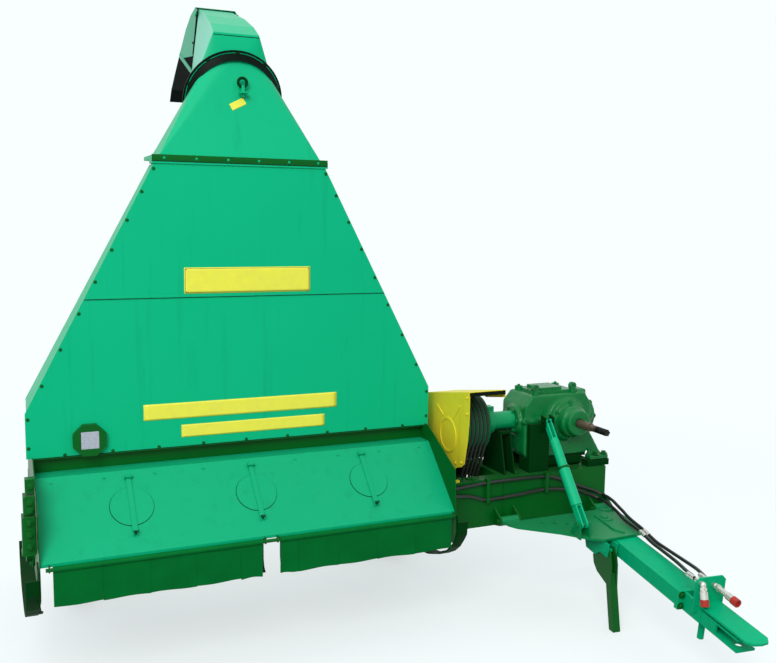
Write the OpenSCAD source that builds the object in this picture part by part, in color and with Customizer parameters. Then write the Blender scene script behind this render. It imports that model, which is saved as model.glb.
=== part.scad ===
// Trailed rotary forage harvester, parked on its two wheels and its drawbar stand.
// Millimetres. +Z is up, the machine travels towards -Y, and +X is its left side,
// where the drive and the drawbar are. The sizes named as heights are measured from a
// level that lies ride_h above the ground.

/* [Crop housing] */
// Width between the side plates
housing_w = 1892; // [1500:4:2300]
// Thickness of the side plates
side_t = 4; // [3:0.5:8]
// Thickness of the housing and chute sheet
sheet_t = 3; // [2:0.5:5]
// Height of the front panel's bottom lip
lip_z = 520; // [480:5:600]
// Depth of the sloping front panel, front to back
panel_run = 295; // [260:5:340]
// Rise of the sloping front panel
panel_rise = 278; // [240:5:320]
// How far the recess sheet stands behind the chute's front
recess_depth = 35; // [20:1:60]
// Diameter of a round inspection cover
hatch_d = 186; // [140:2:220]
// Spacing of the inspection covers
hatch_pitch = 558; // [450:2:620]
// Length of a cover's bar
hatch_bar = 290; // [240:5:320]

/* [Chute] */
// Width of the chute's front at its base
chute_w = 1944; // [1700:4:2300]
// Height of the chute's base
chute_z = 873; // [850:1:900]
// Height of the upright part at the chute's base
chute_upright = 200; // [100:5:300]
// Height of the middle flange
flange_z = 2185; // [2000:5:2300]
// Width of the middle flange
flange_w = 826; // [700:2:950]
// Depth of the chute at its base
chute_depth = 400; // [340:5:440]
// Depth of the chute at the middle flange
throat_depth = 240; // [200:5:250]
// Width of the corner lip that carries the bolts
corner_lip = 18; // [10:1:30]
// Width of the angle iron in the middle flange
flange_leg = 34; // [24:1:50]

/* [Head] */
// Inner radius of the round collar
collar_r = 203; // [180:1:215]
// Lean of the collar from level
collar_lean = 67; // [60:1:72]
// Height of the collar's centre
collar_z = 2470; // [2460:1:2500]
// Width of the head at its front crease
head_w = 216; // [190:2:240]
// Width of the head at its mouth
mouth_w = 168; // [150:2:180]
// Play between the head's mouth and the visor's cheeks, each side
visor_gap = 14; // [12:1:20]

/* [Rotor] */
// Radius of the circle that the flail tips sweep
flail_r = 270; // [240:1:278]
// Outer radius of the rotor's tube
drum_r = 80; // [60:1:100]
// Radius of the rotor's shaft ends
rotor_shaft_r = 30; // [20:1:40]
// Width of a flail
flail_w = 62; // [40:1:80]
// Number of flail rows round the tube
flail_rows = 4; // [2:1:6]
// Number of flails in a row
row_flails = 12; // [8:1:14]
// Depth of the rotor's axis behind the panel's lip
rotor_y = 490; // [485:1:500]
// Height of the rotor's axis
rotor_z = 432; // [420:1:445]

/* [Drive] */
// Outer radius of the drive pulley
drive_r = 150; // [120:1:160]
// Outer radius of the rotor's pulley
driven_r = 100; // [80:1:110]
// Number of V-belts
belts = 5; // [3:1:6]
// Pitch of the belt grooves
groove_pitch = 23; // [19:0.5:24]
// Top width of a groove
groove_w = 17; // [13:0.5:18]
// Height of the drive shafts
drive_z = 860; // [840:1:880]
// Depth of the drive pulley's axis behind the panel's lip
drive_y = 360; // [350:1:370]
// Radius of the tube round the cross shaft
tube_r = 48; // [40:1:60]
// Radius of the splined input shaft
pto_r = 17.45; // [15:0.05:22]
// Free length of the input shaft
pto_free = 235; // [180:5:300]
// Sideways place of the input shaft
pto_x = 1765; // [1740:5:1790]

/* [Frame] */
// Height of the main beam
beam_h = 250; // [220:5:255]
// Depth of the main beam's front channel
beam_d = 80; // [60:5:90]
// Sideways reach of the main beam
beam_end = 1995; // [1960:5:2050]
// Side of the rear cross tube
cross_h = 80; // [60:5:90]
// Radius of the hitch hinge pins
hinge_pin_r = 12; // [8:0.5:16]
// Running clearance of pins in their bores
fit_gap = 0.08; // [0.03:0.01:0.1]

/* [Wheels] */
// Height above the ground of the level that the other heights start from
ride_h = 110; // [80:5:130]
// Outer radius of a tyre
tyre_r = 350; // [320:5:370]
// Width of a tyre
tyre_w = 190; // [160:5:210]
// Radius of the rim under the tyre
rim_r = 205; // [180:5:220]
// Depth of the wheels' axis behind the panel's lip
wheel_y = 1230; // [1215:5:1260]
// Sideways place of the right wheel
wheel_right_x = -700; // [-720:5:-680]
// Sideways place of the left wheel
wheel_left_x = 1100; // [1080:5:1120]
// Radius of the stub axles
stub_r = 22; // [18:0.5:26]

/* [Hitch] */
// Downward lean of the hitch at rest
hitch_lean = 6.5; // [5:0.1:8]
// Swing of the drawbar towards the machine's right at rest
drawbar_yaw = 5; // [3:0.5:7]
// Width of the drawbar
drawbar_w = 140; // [120:2:150]
// Height of the drawbar
drawbar_h = 74; // [60:1:80]
// Wall of the drawbar
drawbar_t = 6; // [4:0.5:8]
// Thickness of the sector plate
plate_t = 12; // [8:1:16]
// Radius of the hitch pin's hole
hitch_pin_r = 16.5; // [12:0.5:20]
// Radius of the drawbar's pivot pin
king_r = 20; // [16:0.5:24]

/* [Hidden] */
$fn = 48;

// Main places, worked out from the sizes above
half_w = housing_w / 2;
outer_w = half_w + side_t;
panel_lean = atan2(panel_rise, panel_run);
panel_top_z = lip_z + panel_rise;
chute_y = panel_run + 63;               // the chute's front
recess_y = chute_y + recess_depth;
shelf_t = 3;
shelf_z = chute_z - shelf_t;            // the level that the chute sits on
side_top_z = shelf_z - sheet_t;
rear_y = 840;                           // rear edge of the side plates
skid_w = 55;
skid_x = outer_w;
skid_out = outer_w + skid_w;
rotor_gap = 12;

// The origin is on the ground under the middle of the machine's length and width
foot_x = 2030;                          // outer end of the gearbox's foot
visor_tip_y = 1583;
wheel_z = tyre_r - ride_h;
tongue_len = 1345;
hinge_y = 150;
hinge_z = 375;
mid_x = (foot_x - skid_out) / 2;
mid_y = (visor_tip_y + hinge_y - tongue_len * cos(hitch_lean)) / 2 + 1;

green = "#1fb57f";
shade_green = "#0a7a3c";
guard_yellow = "#c8cc30";
steel = "#9a9a94";
rubber = "#1b1b1b";
warning_red = "#b02418";

// ---- Ways of placing and drawing plates ----
module place() { translate([-mid_x, -mid_y, ride_h]) children(); }
// A (y, z) outline made into a plate from x0 to x1
module along_x(x0, x1) {
    translate([x0, 0, 0]) rotate([90, 0, 90]) linear_extrude(x1 - x0) children();
}
// An (x, z) outline made into a plate from y0 to y1
module along_y(y0, y1) {
    translate([0, y1, 0]) rotate([90, 0, 0]) linear_extrude(y1 - y0) children();
}
// A block between ranges of x, y and z
module block(x, y, z) {
    translate([x[0], y[0], z[0]]) cube([x[1] - x[0], y[1] - y[0], z[1] - z[0]]);
}
module bar_x(r, x0, x1, y, z) {
    translate([x0, y, z]) rotate([0, 90, 0]) cylinder(r = r, h = x1 - x0);
}
module bar_y(r, y0, y1, x, z) {
    translate([x, y0, z]) rotate([-90, 0, 0]) cylinder(r = r, h = y1 - y0);
}
module bar_z(r, z0, z1, x, y) { translate([x, y, z0]) cylinder(r = r, h = z1 - z0); }
module mirror_x() { children(); mirror([1, 0, 0]) children(); }

// Sheet bent along a path: the path's outline on one side, t thick to its left
function unit(v) = v / norm(v);
function left_of(p, i) = let (d = unit(p[i + 1] - p[i])) [-d[1], d[0]];
function left_side(p, t) = [for (i = [0 : len(p) - 1])
    let (a = left_of(p, max(0, i - 1)), b = left_of(p, min(len(p) - 2, i)))
        p[i] + (a + b) * (t / (1 + a * b))];
function strip(p, t) = let (q = left_side(p, t))
    concat(p, [for (i = [len(p) - 1 : -1 : 0]) q[i]]);
function arc(c, r, a0, a1, steps) = [for (i = [0 : steps])
    let (a = a0 + (a1 - a0) * i / steps) [c[0] + r * cos(a), c[1] + r * sin(a)]];

// ---- Crop housing ----
hatch_xs = [-hatch_pitch, 0, hatch_pitch];
hatch_mid = hatch_bar / 2 + 76;         // middle of a cover, up the slope from the lip

// Moves to a frame that lies on the sloping panel: x along it, y up it, z out of it
module on_panel() { translate([0, 0, lip_z]) rotate([panel_lean, 0, 0]) children(); }

module front_panel() {
    hole_r = hatch_d / 2 - 12;
    flange = 12;
    color(green) place() difference() {
        along_x(-half_w, half_w) polygon(strip([[0, lip_z - flange], [0, lip_z],
            [panel_run, panel_top_z], [recess_y - sheet_t, panel_top_z]], sheet_t));
        for (x = hatch_xs) on_panel()
            translate([x, hatch_mid, -20]) cylinder(r = hole_r, h = 60);
    }
    // ears, pin and latch stud of each cover's bar
    color(green) place() for (x = hatch_xs) on_panel() translate([x, hatch_mid, 0]) {
        for (x0 = [-bar_w / 2 - ear_gap - 4, bar_w / 2 + ear_gap])
            translate([x0, hatch_bar / 2 - ear_r, sheet_t - 1])
                cube([4, 2 * ear_r, ear_lift + ear_r - sheet_t]);
        translate([-bar_w / 2 - ear_gap - 3, hatch_bar / 2, ear_lift]) rotate([0, 90, 0])
            cylinder(r = bar_pin_r, h = bar_w + 2 * ear_gap + 6);
        translate([0, -hatch_bar / 2 + 13, sheet_t - 1]) cylinder(r = 2.5, h = 16);
    }
}

// Recess sheet, crown and curved rear wall round the rotor
module housing_shell() {
    rear_r = 312;
    rear_arc = arc([rotor_y, rotor_z], rear_r, -14, 22, 8);
    recess = strip([[recess_y, panel_top_z - 8], [recess_y, side_top_z],
                    [chute_y - 4, side_top_z]], -sheet_t);
    rear = strip(concat(rear_arc, [[chute_y + chute_depth - 4, shelf_z],
                                   [chute_y + chute_depth + 26, shelf_z]]), -sheet_t);
    color(green) place() {
        along_x(-half_w, half_w) polygon(recess);
        along_x(-half_w, half_w) polygon(rear);
    }
}

// The two wing plates: they stand proud of the panel and carry the rotor's bearings
module side_plates() {
    outline = [[-20, lip_z - 105], [0, lip_z + 206], [panel_run + 10, chute_z + 10],
               [chute_y - 12, chute_z + 10], [chute_y - 12, shelf_z], [800, shelf_z],
               [rear_y, 720], [rear_y, 380], [790, 330], [60, 330], [0, 365]];
    bearing_r = 62;
    color(green) place() for (side = [-1, 1]) difference() {
        union() {
            along_x(side > 0 ? half_w : -outer_w, side > 0 ? outer_w : -half_w)
                polygon(outline);
            bar_x(bearing_r, side > 0 ? outer_w : -outer_w - 34,
                  side > 0 ? outer_w + 34 : -outer_w, rotor_y, rotor_z);
            bar_x(bearing_r + 24, side > 0 ? outer_w : -outer_w - 8,
                  side > 0 ? outer_w + 8 : -outer_w, rotor_y, rotor_z);
        }
        bar_x(rotor_shaft_r + fit_gap, side > 0 ? half_w - 5 : -outer_w - 26,
              side > 0 ? outer_w + 50 : -half_w + 5, rotor_y, rotor_z);
    }
}

// ---- Chute ----
module chute_form(front_half, top_half, y_front, depth, top_depth, z0, z1) {
    intersection() {
        along_y(y_front - 1, y_front + depth + 1) polygon([[-front_half, z0],
            [-front_half, z0 + chute_upright], [-top_half, z1], [top_half, z1],
            [front_half, z0 + chute_upright], [front_half, z0]]);
        along_x(-front_half - 1, front_half + 1) polygon([[y_front, z0],
            [y_front, z1], [y_front + top_depth, z1], [y_front + depth, z0]]);
    }
}

module chute_lower() {
    top_z = flange_z - flange_leg / 2;
    wide = chute_w / 2;
    narrow = flange_w / 2 - 12;
    seam_z = chute_z + 692;
    lip = corner_lip;
    color(green) place() {
        difference() {
            union() {
                chute_form(wide - lip, narrow - lip, chute_y, chute_depth, throat_depth,
                           chute_z, top_z);
                chute_form(wide, narrow, chute_y, sheet_t, sheet_t, chute_z, top_z);
                intersection() {
                    chute_form(wide, narrow, chute_y - 2, sheet_t + 2, sheet_t + 2,
                               chute_z, top_z);
                    block([-wide, wide], [0, 1000], [seam_z, seam_z + 9]);
                }
                block([-flange_w / 2, flange_w / 2], [chute_y - 6, chute_y + 60],
                      [top_z - 4, flange_z]);
                block([-flange_w / 2 + 40, flange_w / 2 - 40],
                      [chute_y - 6, chute_y + throat_depth + 18], [top_z - 4, flange_z]);
                // base flange that sits on the housing
                block([-outer_w, outer_w], [chute_y, chute_y + chute_depth + 26],
                      [chute_z - shelf_t, chute_z + 2]);
            }
            chute_form(wide - lip - sheet_t, narrow - lip - sheet_t, chute_y + sheet_t,
                       chute_depth - 2 * sheet_t, throat_depth - 2 * sheet_t,
                       chute_z - 0.01, top_z + 0.01);
            block([-wide + lip + sheet_t, wide - lip - sheet_t],
                  [chute_y + sheet_t, chute_y + chute_depth - sheet_t],
                  [chute_z - shelf_t - 1, chute_z]);
            block([-narrow + lip + sheet_t, narrow - lip - sheet_t],
                  [chute_y + sheet_t, chute_y + throat_depth - sheet_t],
                  [top_z, flange_z + 1]);
        }
    }
}

// Frame of the inclined collar: x across, y down the collar's slope to the rear, z out of it
collar_y = chute_y + 162;
module on_collar() {
    translate([0, collar_y, collar_z]) rotate([-collar_lean, 0, 0]) children();
}
neck = 24;                              // length of the collar beyond the hood

module hood(inset) {
    base_half = flange_w / 2 - 30 - inset;
    hull() {
        block([-base_half, base_half], [chute_y + inset, chute_y + throat_depth - 6 - inset],
              [flange_z, flange_z + 6]);
        on_collar() translate([0, 0, -2]) cylinder(r = collar_r + sheet_t - inset, h = 2, $fn = 48);
    }
}

module chute_upper() {
    angle_t = 5;
    color(green) place() difference() {
        union() {
            hood(0);
            on_collar() {
                cylinder(r = collar_r, h = neck);
                cylinder(r = collar_r + 22, h = 6);
            }
            // angle-iron frame on the middle flange
            block([-flange_w / 2, flange_w / 2], [chute_y - 6, chute_y + 60],
                  [flange_z, flange_z + angle_t]);
            block([-flange_w / 2 + 40, flange_w / 2 - 40],
                  [chute_y - 6, chute_y + throat_depth + 18], [flange_z, flange_z + angle_t]);
            block([-flange_w / 2 + 6, flange_w / 2 - 6],
                  [chute_y - 4, chute_y + throat_depth + 4],
                  [flange_z, flange_z + flange_leg / 2]);
            // lifting eye on the hood's front
            translate([10, chute_y + 34, collar_z + 74]) rotate([90, 0, 0])
                rotate_extrude() translate([20, 0]) circle(r = 6, $fn = 16);
            translate([4, chute_y + 26, collar_z + 10]) cube([14, 26, 50]);
            translate([-11, chute_y + 8, collar_z + 24]) cube([44, 30, 5]);
        }
        hood(sheet_t);
        on_collar() translate([0, 0, -8]) cylinder(r = collar_r - sheet_t, h = neck + 20);
        block([-flange_w / 2 + 30 + sheet_t, flange_w / 2 - 30 - sheet_t],
              [chute_y + sheet_t, chute_y + throat_depth - 6 - sheet_t],
              [flange_z - 1, flange_z + 7]);
    }
}

module reflector() {
    x = -708;
    z = 941;
    size = 142;
    lens = 78;
    color(green) place() {
        difference() {
            union() {
                translate([x, chute_y, z]) rotate([90, 22.5, 0])
                    cylinder(r = size / 2 / cos(22.5), h = 26, $fn = 8);
                block([x - 38, x + 38], [chute_y - 22, chute_y], [z - size / 2 + 2, z]);
            }
            block([x - lens / 2, x + lens / 2], [chute_y - 27, chute_y - 20],
                  [z - lens / 2, z + lens / 2]);
        }
    }
}

// ---- Skids and flaps ----
module skids() {
    nose = [[-28, 470], [-21, 406], [3, 372], [41, 327]];
    sole = [[92, 287], [160, 252], [256, 219], [340, 205], [430, 200],
            [640, 200], [735, 225], [790, 280]];
    bolt_r = 6;
    color(shade_green) place() mirror_x() {
        along_x(skid_x + 3, skid_out) polygon(strip(concat(nose, sole, [[800, 360]]), -8));
        // inner edge of the sole, below the side plate
        along_x(skid_x - 14, skid_x + 4) polygon(strip([for (p = sole) p + [0, 1]], -6));
        for (y = [[-24, 100], [745, 806]]) difference() {
            block([skid_x, skid_x + 6], y, [352, 500]);
            for (z = [392, 424, 456])
                bar_x(bolt_r, skid_x - 1, skid_x + 8, (y[0] + y[1]) / 2 + 8, z);
        }
    }
}

flap_y = -12;
flap_z = lip_z - 21;
flap_rod_r = 8;
flap_sleeve_r = 12;
flap_t = 6;
flap_drop = 160;
flap_strip = 195;                       // width of a strip, counted from the outer end
right_flap = [-half_w + 47, -21];
left_flap = [62, half_w - 20];
lug_xs = [-half_w + 34, -8, 49, half_w - 8];

module flap_rod() {
    color(green) place() {
        bar_x(flap_rod_r, -half_w + 20, half_w - 4, flap_y, flap_z);
        for (x = lug_xs) difference() {
            union() {
                block([x - 3, x + 3], [flap_y - 8, -sheet_t], [flap_z - 10, lip_z - 2]);
                bar_x(12, x - 3, x + 3, flap_y, flap_z);
            }
            bar_x(flap_rod_r - 1, x - 4, x + 4, flap_y, flap_z);
        }
    }
}

// A curtain of hanging strips, slit nearly to its sleeve
module flap(range) {
    slit = 3;
    outer = abs(range[0]) > abs(range[1]) ? range[0] : range[1];
    strips = floor((range[1] - range[0]) / flap_strip);
    color(shade_green) place() difference() {
        union() {
            bar_x(flap_sleeve_r, range[0], range[1], flap_y, flap_z);
            block(range, [flap_y - flap_t / 2, flap_y + flap_t / 2],
                  [flap_z - flap_drop, flap_z]);
        }
        bar_x(flap_rod_r + 0.4, range[0] - 1, range[1] + 1, flap_y, flap_z);
        for (i = [1 : strips]) let (x = outer - sign(outer) * i * flap_strip)
            block([x - slit / 2, x + slit / 2],
                  [flap_y - 20, flap_y + 20], [flap_z - flap_drop - 1, flap_z - 30]);
    }
}
module flap_left() { flap(left_flap); }
module flap_right() { flap(right_flap); }

// A round cover under its bar; the bar hinges in two small ears at its upper end
cover_t = 3;
bar_w = 22;
ear_r = 9;
ear_gap = 1;
ear_lift = sheet_t + cover_t + 10;
bar_pin_r = 4;
module hatch(x) {
    stud_slot = 10;
    color(green) place() on_panel() translate([x, hatch_mid, 0]) {
        translate([0, 0, sheet_t + 0.3]) cylinder(r = hatch_d / 2, h = cover_t);
        difference() {
            union() {
                translate([-bar_w / 2, -hatch_bar / 2, sheet_t + cover_t + 0.3])
                    cube([bar_w, hatch_bar, 5]);
                translate([-bar_w / 2, hatch_bar / 2, ear_lift]) rotate([0, 90, 0])
                    cylinder(r = ear_r, h = bar_w);
            }
            translate([-bar_w, hatch_bar / 2, ear_lift]) rotate([0, 90, 0])
                cylinder(r = bar_pin_r + fit_gap, h = 2 * bar_w);
            translate([-stud_slot / 2, -hatch_bar / 2 - 1, sheet_t])
                cube([stud_slot, 14 + stud_slot / 2, 20]);
        }
    }
}
module hatch_left() { hatch(hatch_xs[2]); }
module hatch_middle() { hatch(hatch_xs[1]); }
module hatch_right() { hatch(hatch_xs[0]); }

// ---- Frame ----
beam_y = 200;
beam_top = 590;
beam_z = beam_top - beam_h;
rail_x = [1345, 1425];
platform_y = 540;                       // rear edge of the gearbox platform
cross_z = 605;
axle_y = 910;
axle_z = 525;
axle_r = 38;
axle_bearings = [-420, 130, 905];       // sideways places of the axle's bearings
hinge_sides = [[1300, 1400], [1890, 1985]];   // sideways ranges of the hitch hinge barrels
hose_r = 8.5;
hose_y = beam_y - 12;
mast_x = 330;
mast_top = 1120;
barrel_r = 36;
mast_gap = barrel_r + 6;                // half the gap between the mast's cheeks
cyl_pin_r = 12;

// One hinge barrel's two cheeks with the pin through them
module hinge_cheeks(x) {
    cheek = 10;
    for (x0 = [x[0] - cheek - 1, x[1] + 1])
        along_x(x0, x0 + cheek) polygon([[beam_y, hinge_z - 34], [beam_y, hinge_z + 60],
            [hinge_y - 14, hinge_z + 20], [hinge_y - 22, hinge_z - 6],
            [hinge_y - 14, hinge_z - 20]]);
    bar_x(hinge_pin_r, x[0] - 22, x[1] + 22, hinge_y, hinge_z);
}

// A flat loop round both hoses: [x, lower end, upper end]
hose_clips = [[1240, 474, 596], [1600, 490, 592]];
module hose_clip(c) {
    clip_w = 18;
    seat = hose_y + hose_r + 0.3;
    front = hose_y - hose_r - 0.3;
    for (y = [[front - 3, front], [seat, beam_y + 1]])
        block([c[0] - clip_w / 2, c[0] + clip_w / 2], y, [c[1], c[2]]);
    for (z = [c[1] - 3, c[2]])
        block([c[0] - clip_w / 2, c[0] + clip_w / 2], [front - 3, beam_y + 1], [z, z + 3]);
}

module main_beam() {
    web = 8;
    color(green) place() {
        difference() {
            union() {
                // front channel, open to the rear
                block([outer_w, beam_end], [beam_y, beam_y + web], [beam_z, beam_top]);
                block([outer_w, beam_end], [beam_y, beam_y + beam_d], [beam_top - web, beam_top]);
                block([outer_w, beam_end], [beam_y, beam_y + beam_d], [beam_z, beam_z + web]);
                // gearbox platform, its rear channel and end plates
                block([rail_x[0], beam_end], [beam_y, platform_y], [beam_top - web, beam_top]);
                block([rail_x[0], beam_end], [platform_y - web, platform_y], [beam_z + 90, beam_top]);
                for (x = [rail_x[0], beam_end - web])
                    along_x(x, x + web) polygon([[beam_y, beam_z], [beam_y + beam_d, beam_z],
                        [platform_y, beam_z + 90], [platform_y, beam_top], [beam_y, beam_top]]);
                for (x = hinge_sides) hinge_cheeks(x);
                for (c = hose_clips) hose_clip(c);
            }
            for (x = [1550, 1880], y = [beam_y + 60, platform_y - 60])
                bar_z(9, beam_top - 20, beam_top + 20, x, y);
        }
    }
}

module rear_frame() {
    wall = 6;
    bearing_w = 50;
    color(green) place() difference() {
        union() {
            // cross tube behind the housing
            difference() {
                block([-outer_w, rail_x[1]], [rear_y, rear_y + cross_h], [cross_z, cross_z + cross_h]);
                block([-outer_w - 1, rail_x[1] + 1], [rear_y + wall, rear_y + cross_h - wall],
                      [cross_z + wall, cross_z + cross_h - wall]);
            }
            // rail from the platform to the cross tube
            block(rail_x, [platform_y, rear_y], [cross_z - 105, cross_z - 15]);
            block(rail_x, [rear_y - 12, rear_y], [cross_z - 105, cross_z + cross_h]);
            // bearing hangers of the axle
            for (x = axle_bearings) {
                block([x - bearing_w / 2, x + bearing_w / 2], [rear_y + 6, rear_y + cross_h],
                      [axle_z, cross_z]);
                bar_x(axle_r + 20, x - bearing_w / 2, x + bearing_w / 2, axle_y, axle_z);
            }
            // mast of the lift cylinder: two cheeks and a back plate
            for (x = [mast_x - mast_gap - 8, mast_x + mast_gap])
                along_x(x, x + 8) polygon([[rear_y, cross_z + cross_h], [rear_y, mast_top],
                    [rear_y + 140, mast_top], [rear_y + 140, mast_top - 60],
                    [rear_y + cross_h, cross_z + cross_h]]);
            block([mast_x - mast_gap - 8, mast_x + mast_gap + 8], [rear_y, rear_y + 8],
                  [cross_z + cross_h, mast_top]);
            bar_x(cyl_pin_r, mast_x - mast_gap - 14, mast_x + mast_gap + 14, lift_top_y, lift_top_z);
        }
        for (x = axle_bearings)
            bar_x(axle_r + fit_gap, x - bearing_w, x + bearing_w, axle_y, axle_z);
    }
}

// Towing bar for the trailer behind, with two jaws and an upright pin hole
rear_bar_x = 560;
rear_jaw_y = 1530;
module rear_hitch() {
    bar = 70;
    jaw_t = 18;
    jaw_gap = 62;
    jaw_z = cross_z + cross_h / 2;
    color(shade_green) place() difference() {
        union() {
            block([rear_bar_x - bar / 2, rear_bar_x + bar / 2], [rear_y + cross_h, rear_jaw_y - 90],
                  [jaw_z - bar / 2, jaw_z + bar / 2]);
            block([rear_bar_x - 55, rear_bar_x + 55], [rear_jaw_y - 90, rear_jaw_y - 74],
                  [jaw_z - jaw_gap / 2 - jaw_t, jaw_z + jaw_gap / 2 + jaw_t]);
            for (z = [jaw_z - jaw_gap / 2 - jaw_t, jaw_z + jaw_gap / 2]) {
                block([rear_bar_x - 45, rear_bar_x + 45], [rear_jaw_y - 80, rear_jaw_y], [z, z + jaw_t]);
                bar_z(45, z, z + jaw_t, rear_bar_x, rear_jaw_y);
            }
            for (side = [-1, 1]) along_y(rear_y + cross_h, rear_y + cross_h + 10)
                polygon([[rear_bar_x, jaw_z - 38], [rear_bar_x, jaw_z + 38],
                         [rear_bar_x + side * 95, jaw_z + 38], [rear_bar_x + side * 95, jaw_z - 38]]);
        }
        bar_z(hitch_pin_r, jaw_z - 80, jaw_z + 80, rear_bar_x, rear_jaw_y);
    }
}

// ---- Drive ----
pulley_x = 1138;
pulley_rim = 6;
pulley_w = belts * groove_pitch + 2 * pulley_rim;
tube_x = [pulley_x + pulley_w + 16, 1500];
gear_x = [1500, 1925];
gear_y = [262, 500];
gear_z = [660, 1000];
cap_y = 135;                            // front of the input bearing cap
shoulder_r = pto_r + 5;
strut_x = 1612;
strut_top_y = 215;
strut_top_z = 868;
strut_pin_r = 8;
strut_r = 25;

module pedestals() {
    color(shade_green) place() {
        // saddle under the bearing tube
        for (x = [1372, 1430]) along_x(x, x + 8) polygon([[drive_y - 120, beam_top],
            [drive_y + 120, beam_top], [drive_y + 66, drive_z - tube_r - 14],
            [drive_y - 66, drive_z - tube_r - 14]]);
        block([1372, 1438], [drive_y - 66, drive_y + 66],
              [drive_z - tube_r - 14, drive_z - tube_r - 0.3]);
        // front foot of the gearbox with the strut's fork on it
        block([1518, 1640], [gear_y[0] - 30, gear_y[0]], [beam_top, 850]);
        block([1518, 1640], [gear_y[0], gear_y[0] + 70], [beam_top, gear_z[0]]);
        for (x = [strut_x - 29, strut_x + 21])
            along_x(x, x + 8) polygon([[gear_y[0] - 30, 800], [gear_y[0] - 30, 900],
                [strut_top_y - 24, 892], [strut_top_y - 24, 846]]);
        bar_x(strut_pin_r, strut_x - 34, strut_x + 34, strut_top_y - 4, strut_top_z);
        // rear and outer feet
        block([1518, 1640], [gear_y[1] - 60, gear_y[1]], [beam_top, gear_z[0]]);
        for (y = [gear_y[0] - 42, gear_y[1] - 60])
            block([1890, foot_x], [y, y + 62], [beam_top, beam_top + 34]);
    }
}

module gearbox() {
    mid_z = drive_z;
    body = [[gear_x[0] + 20, gear_z[0]], [gear_x[1] - 20, gear_z[0]], [gear_x[1], gear_z[0] + 30],
            [gear_x[1], gear_z[1] - 60], [gear_x[1] - 40, gear_z[1]], [gear_x[0] + 50, gear_z[1]],
            [gear_x[0], gear_z[1] - 60], [gear_x[0], gear_z[0] + 30]];
    flange_h = 14;
    color(green) place() difference() {
        union() {
            along_y(gear_y[0], gear_y[1]) polygon(body);
            // split flange round the casting
            block([gear_x[0] - 12, gear_x[1] + 14], [gear_y[0] - 12, gear_y[1] + 12],
                  [mid_z - flange_h / 2, mid_z + flange_h / 2]);
            // input bearing neck and cap, towards the tractor
            bar_y(112, gear_y[0] - 34, gear_y[0] + 1, pto_x, mid_z);
            bar_y(86, cap_y + 40, gear_y[0] + 1, pto_x, mid_z);
            bar_y(70, cap_y, gear_y[0] + 1, pto_x, mid_z);
            // outer bearing cap
            bar_x(92, gear_x[1] - 1, gear_x[1] + 38, drive_y, mid_z);
            bar_x(60, gear_x[1] - 1, gear_x[1] + 54, drive_y, mid_z);
            // cross shaft neck
            bar_x(78, gear_x[0] - 26, gear_x[0] + 1, drive_y, mid_z);
            // feet
            block([gear_x[1] - 20, foot_x], [gear_y[0] - 42, gear_y[0] + 20],
                  [beam_top + 34, beam_top + 60]);
            block([gear_x[1] - 20, foot_x], [gear_y[1] - 60, gear_y[1] + 2],
                  [beam_top + 34, beam_top + 60]);
            for (y = [gear_y[0] - 2, gear_y[1] - 40])
                along_y(y, y + 22) polygon([[gear_x[1] - 1, beam_top + 50], [foot_x - 20, beam_top + 50],
                    [gear_x[1] - 1, gear_z[0] + 120]]);
            // raised boss beside the cover
            block([1850, 1912], [gear_y[0] + 24, gear_y[0] + 120], [gear_z[1] - 30, gear_z[1] + 14]);
        }
        bar_y(shoulder_r + fit_gap, cap_y - 1, gear_y[0] + 40, pto_x, mid_z);
        bar_x(24 + fit_gap, gear_x[0] - 27, gear_x[0] + 60, drive_y, mid_z);
    }
}

module gearbox_cover() {
    cover_x = [1585, 1825];
    cover_y = [gear_y[0] + 34, gear_y[1] - 34];
    color(green) place() {
        block(cover_x, cover_y, [gear_z[1], gear_z[1] + 16]);
        block([cover_x[0] + 40, cover_x[1] - 60], [cover_y[0] + 20, cover_y[1] - 20],
              [gear_z[1] + 16, gear_z[1] + 30]);
        // corner lugs with their set screws
        for (x = cover_x, y = cover_y) bar_z(22, gear_z[1], gear_z[1] + 20, x, y);
        for (x = cover_x) difference() {
            bar_y(20, cover_y[0] - 6, cover_y[0] + 16, x, gear_z[1] + 34);
            bar_y(8, cover_y[0] - 8, cover_y[0] + 20, x, gear_z[1] + 34);
        }
    }
}

module bearing_tube() {
    color(green) place() difference() {
        union() {
            bar_x(tube_r, tube_x[0], gear_x[0] - 26, drive_y, drive_z);
            bar_x(84, tube_x[0], tube_x[0] + 14, drive_y, drive_z);
            bar_x(66, tube_x[0] + 14, tube_x[0] + 62, drive_y, drive_z);
            block([tube_x[0] + 20, tube_x[0] + 70], [drive_y - 26, drive_y + 26],
                  [drive_z, drive_z + 84]);
        }
        bar_x(24 + fit_gap, tube_x[0] - 1, gear_x[0], drive_y, drive_z);
    }
}

// V-belt pulley, turned from one blank
module pulley(r, bore_r, x, y, z) {
    depth = 15;
    root_w = 8;
    translate([x, y, z]) rotate([0, 90, 0]) difference() {
        cylinder(r = r, h = pulley_w, $fn = 96);
        translate([0, 0, -1]) cylinder(r = bore_r + fit_gap, h = pulley_w + 2);
        for (i = [0 : belts - 1]) translate([0, 0, pulley_rim + groove_pitch * (i + 0.5)])
            rotate_extrude($fn = 96) polygon([[r - depth, -root_w / 2], [r + 1, -groove_w / 2],
                [r + 1, groove_w / 2], [r - depth, root_w / 2]]);
        // hollowed face
        translate([0, 0, pulley_w - 30]) rotate_extrude() polygon([[bore_r + 22, 0],
            [r - depth - 14, 0], [r - depth - 10, 31], [bore_r + 18, 31]]);
        translate([0, 0, -1]) rotate_extrude() polygon([[bore_r + 18, 0],
            [r - depth - 10, 0], [r - depth - 14, 31], [bore_r + 22, 31]]);
    }
}

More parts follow.
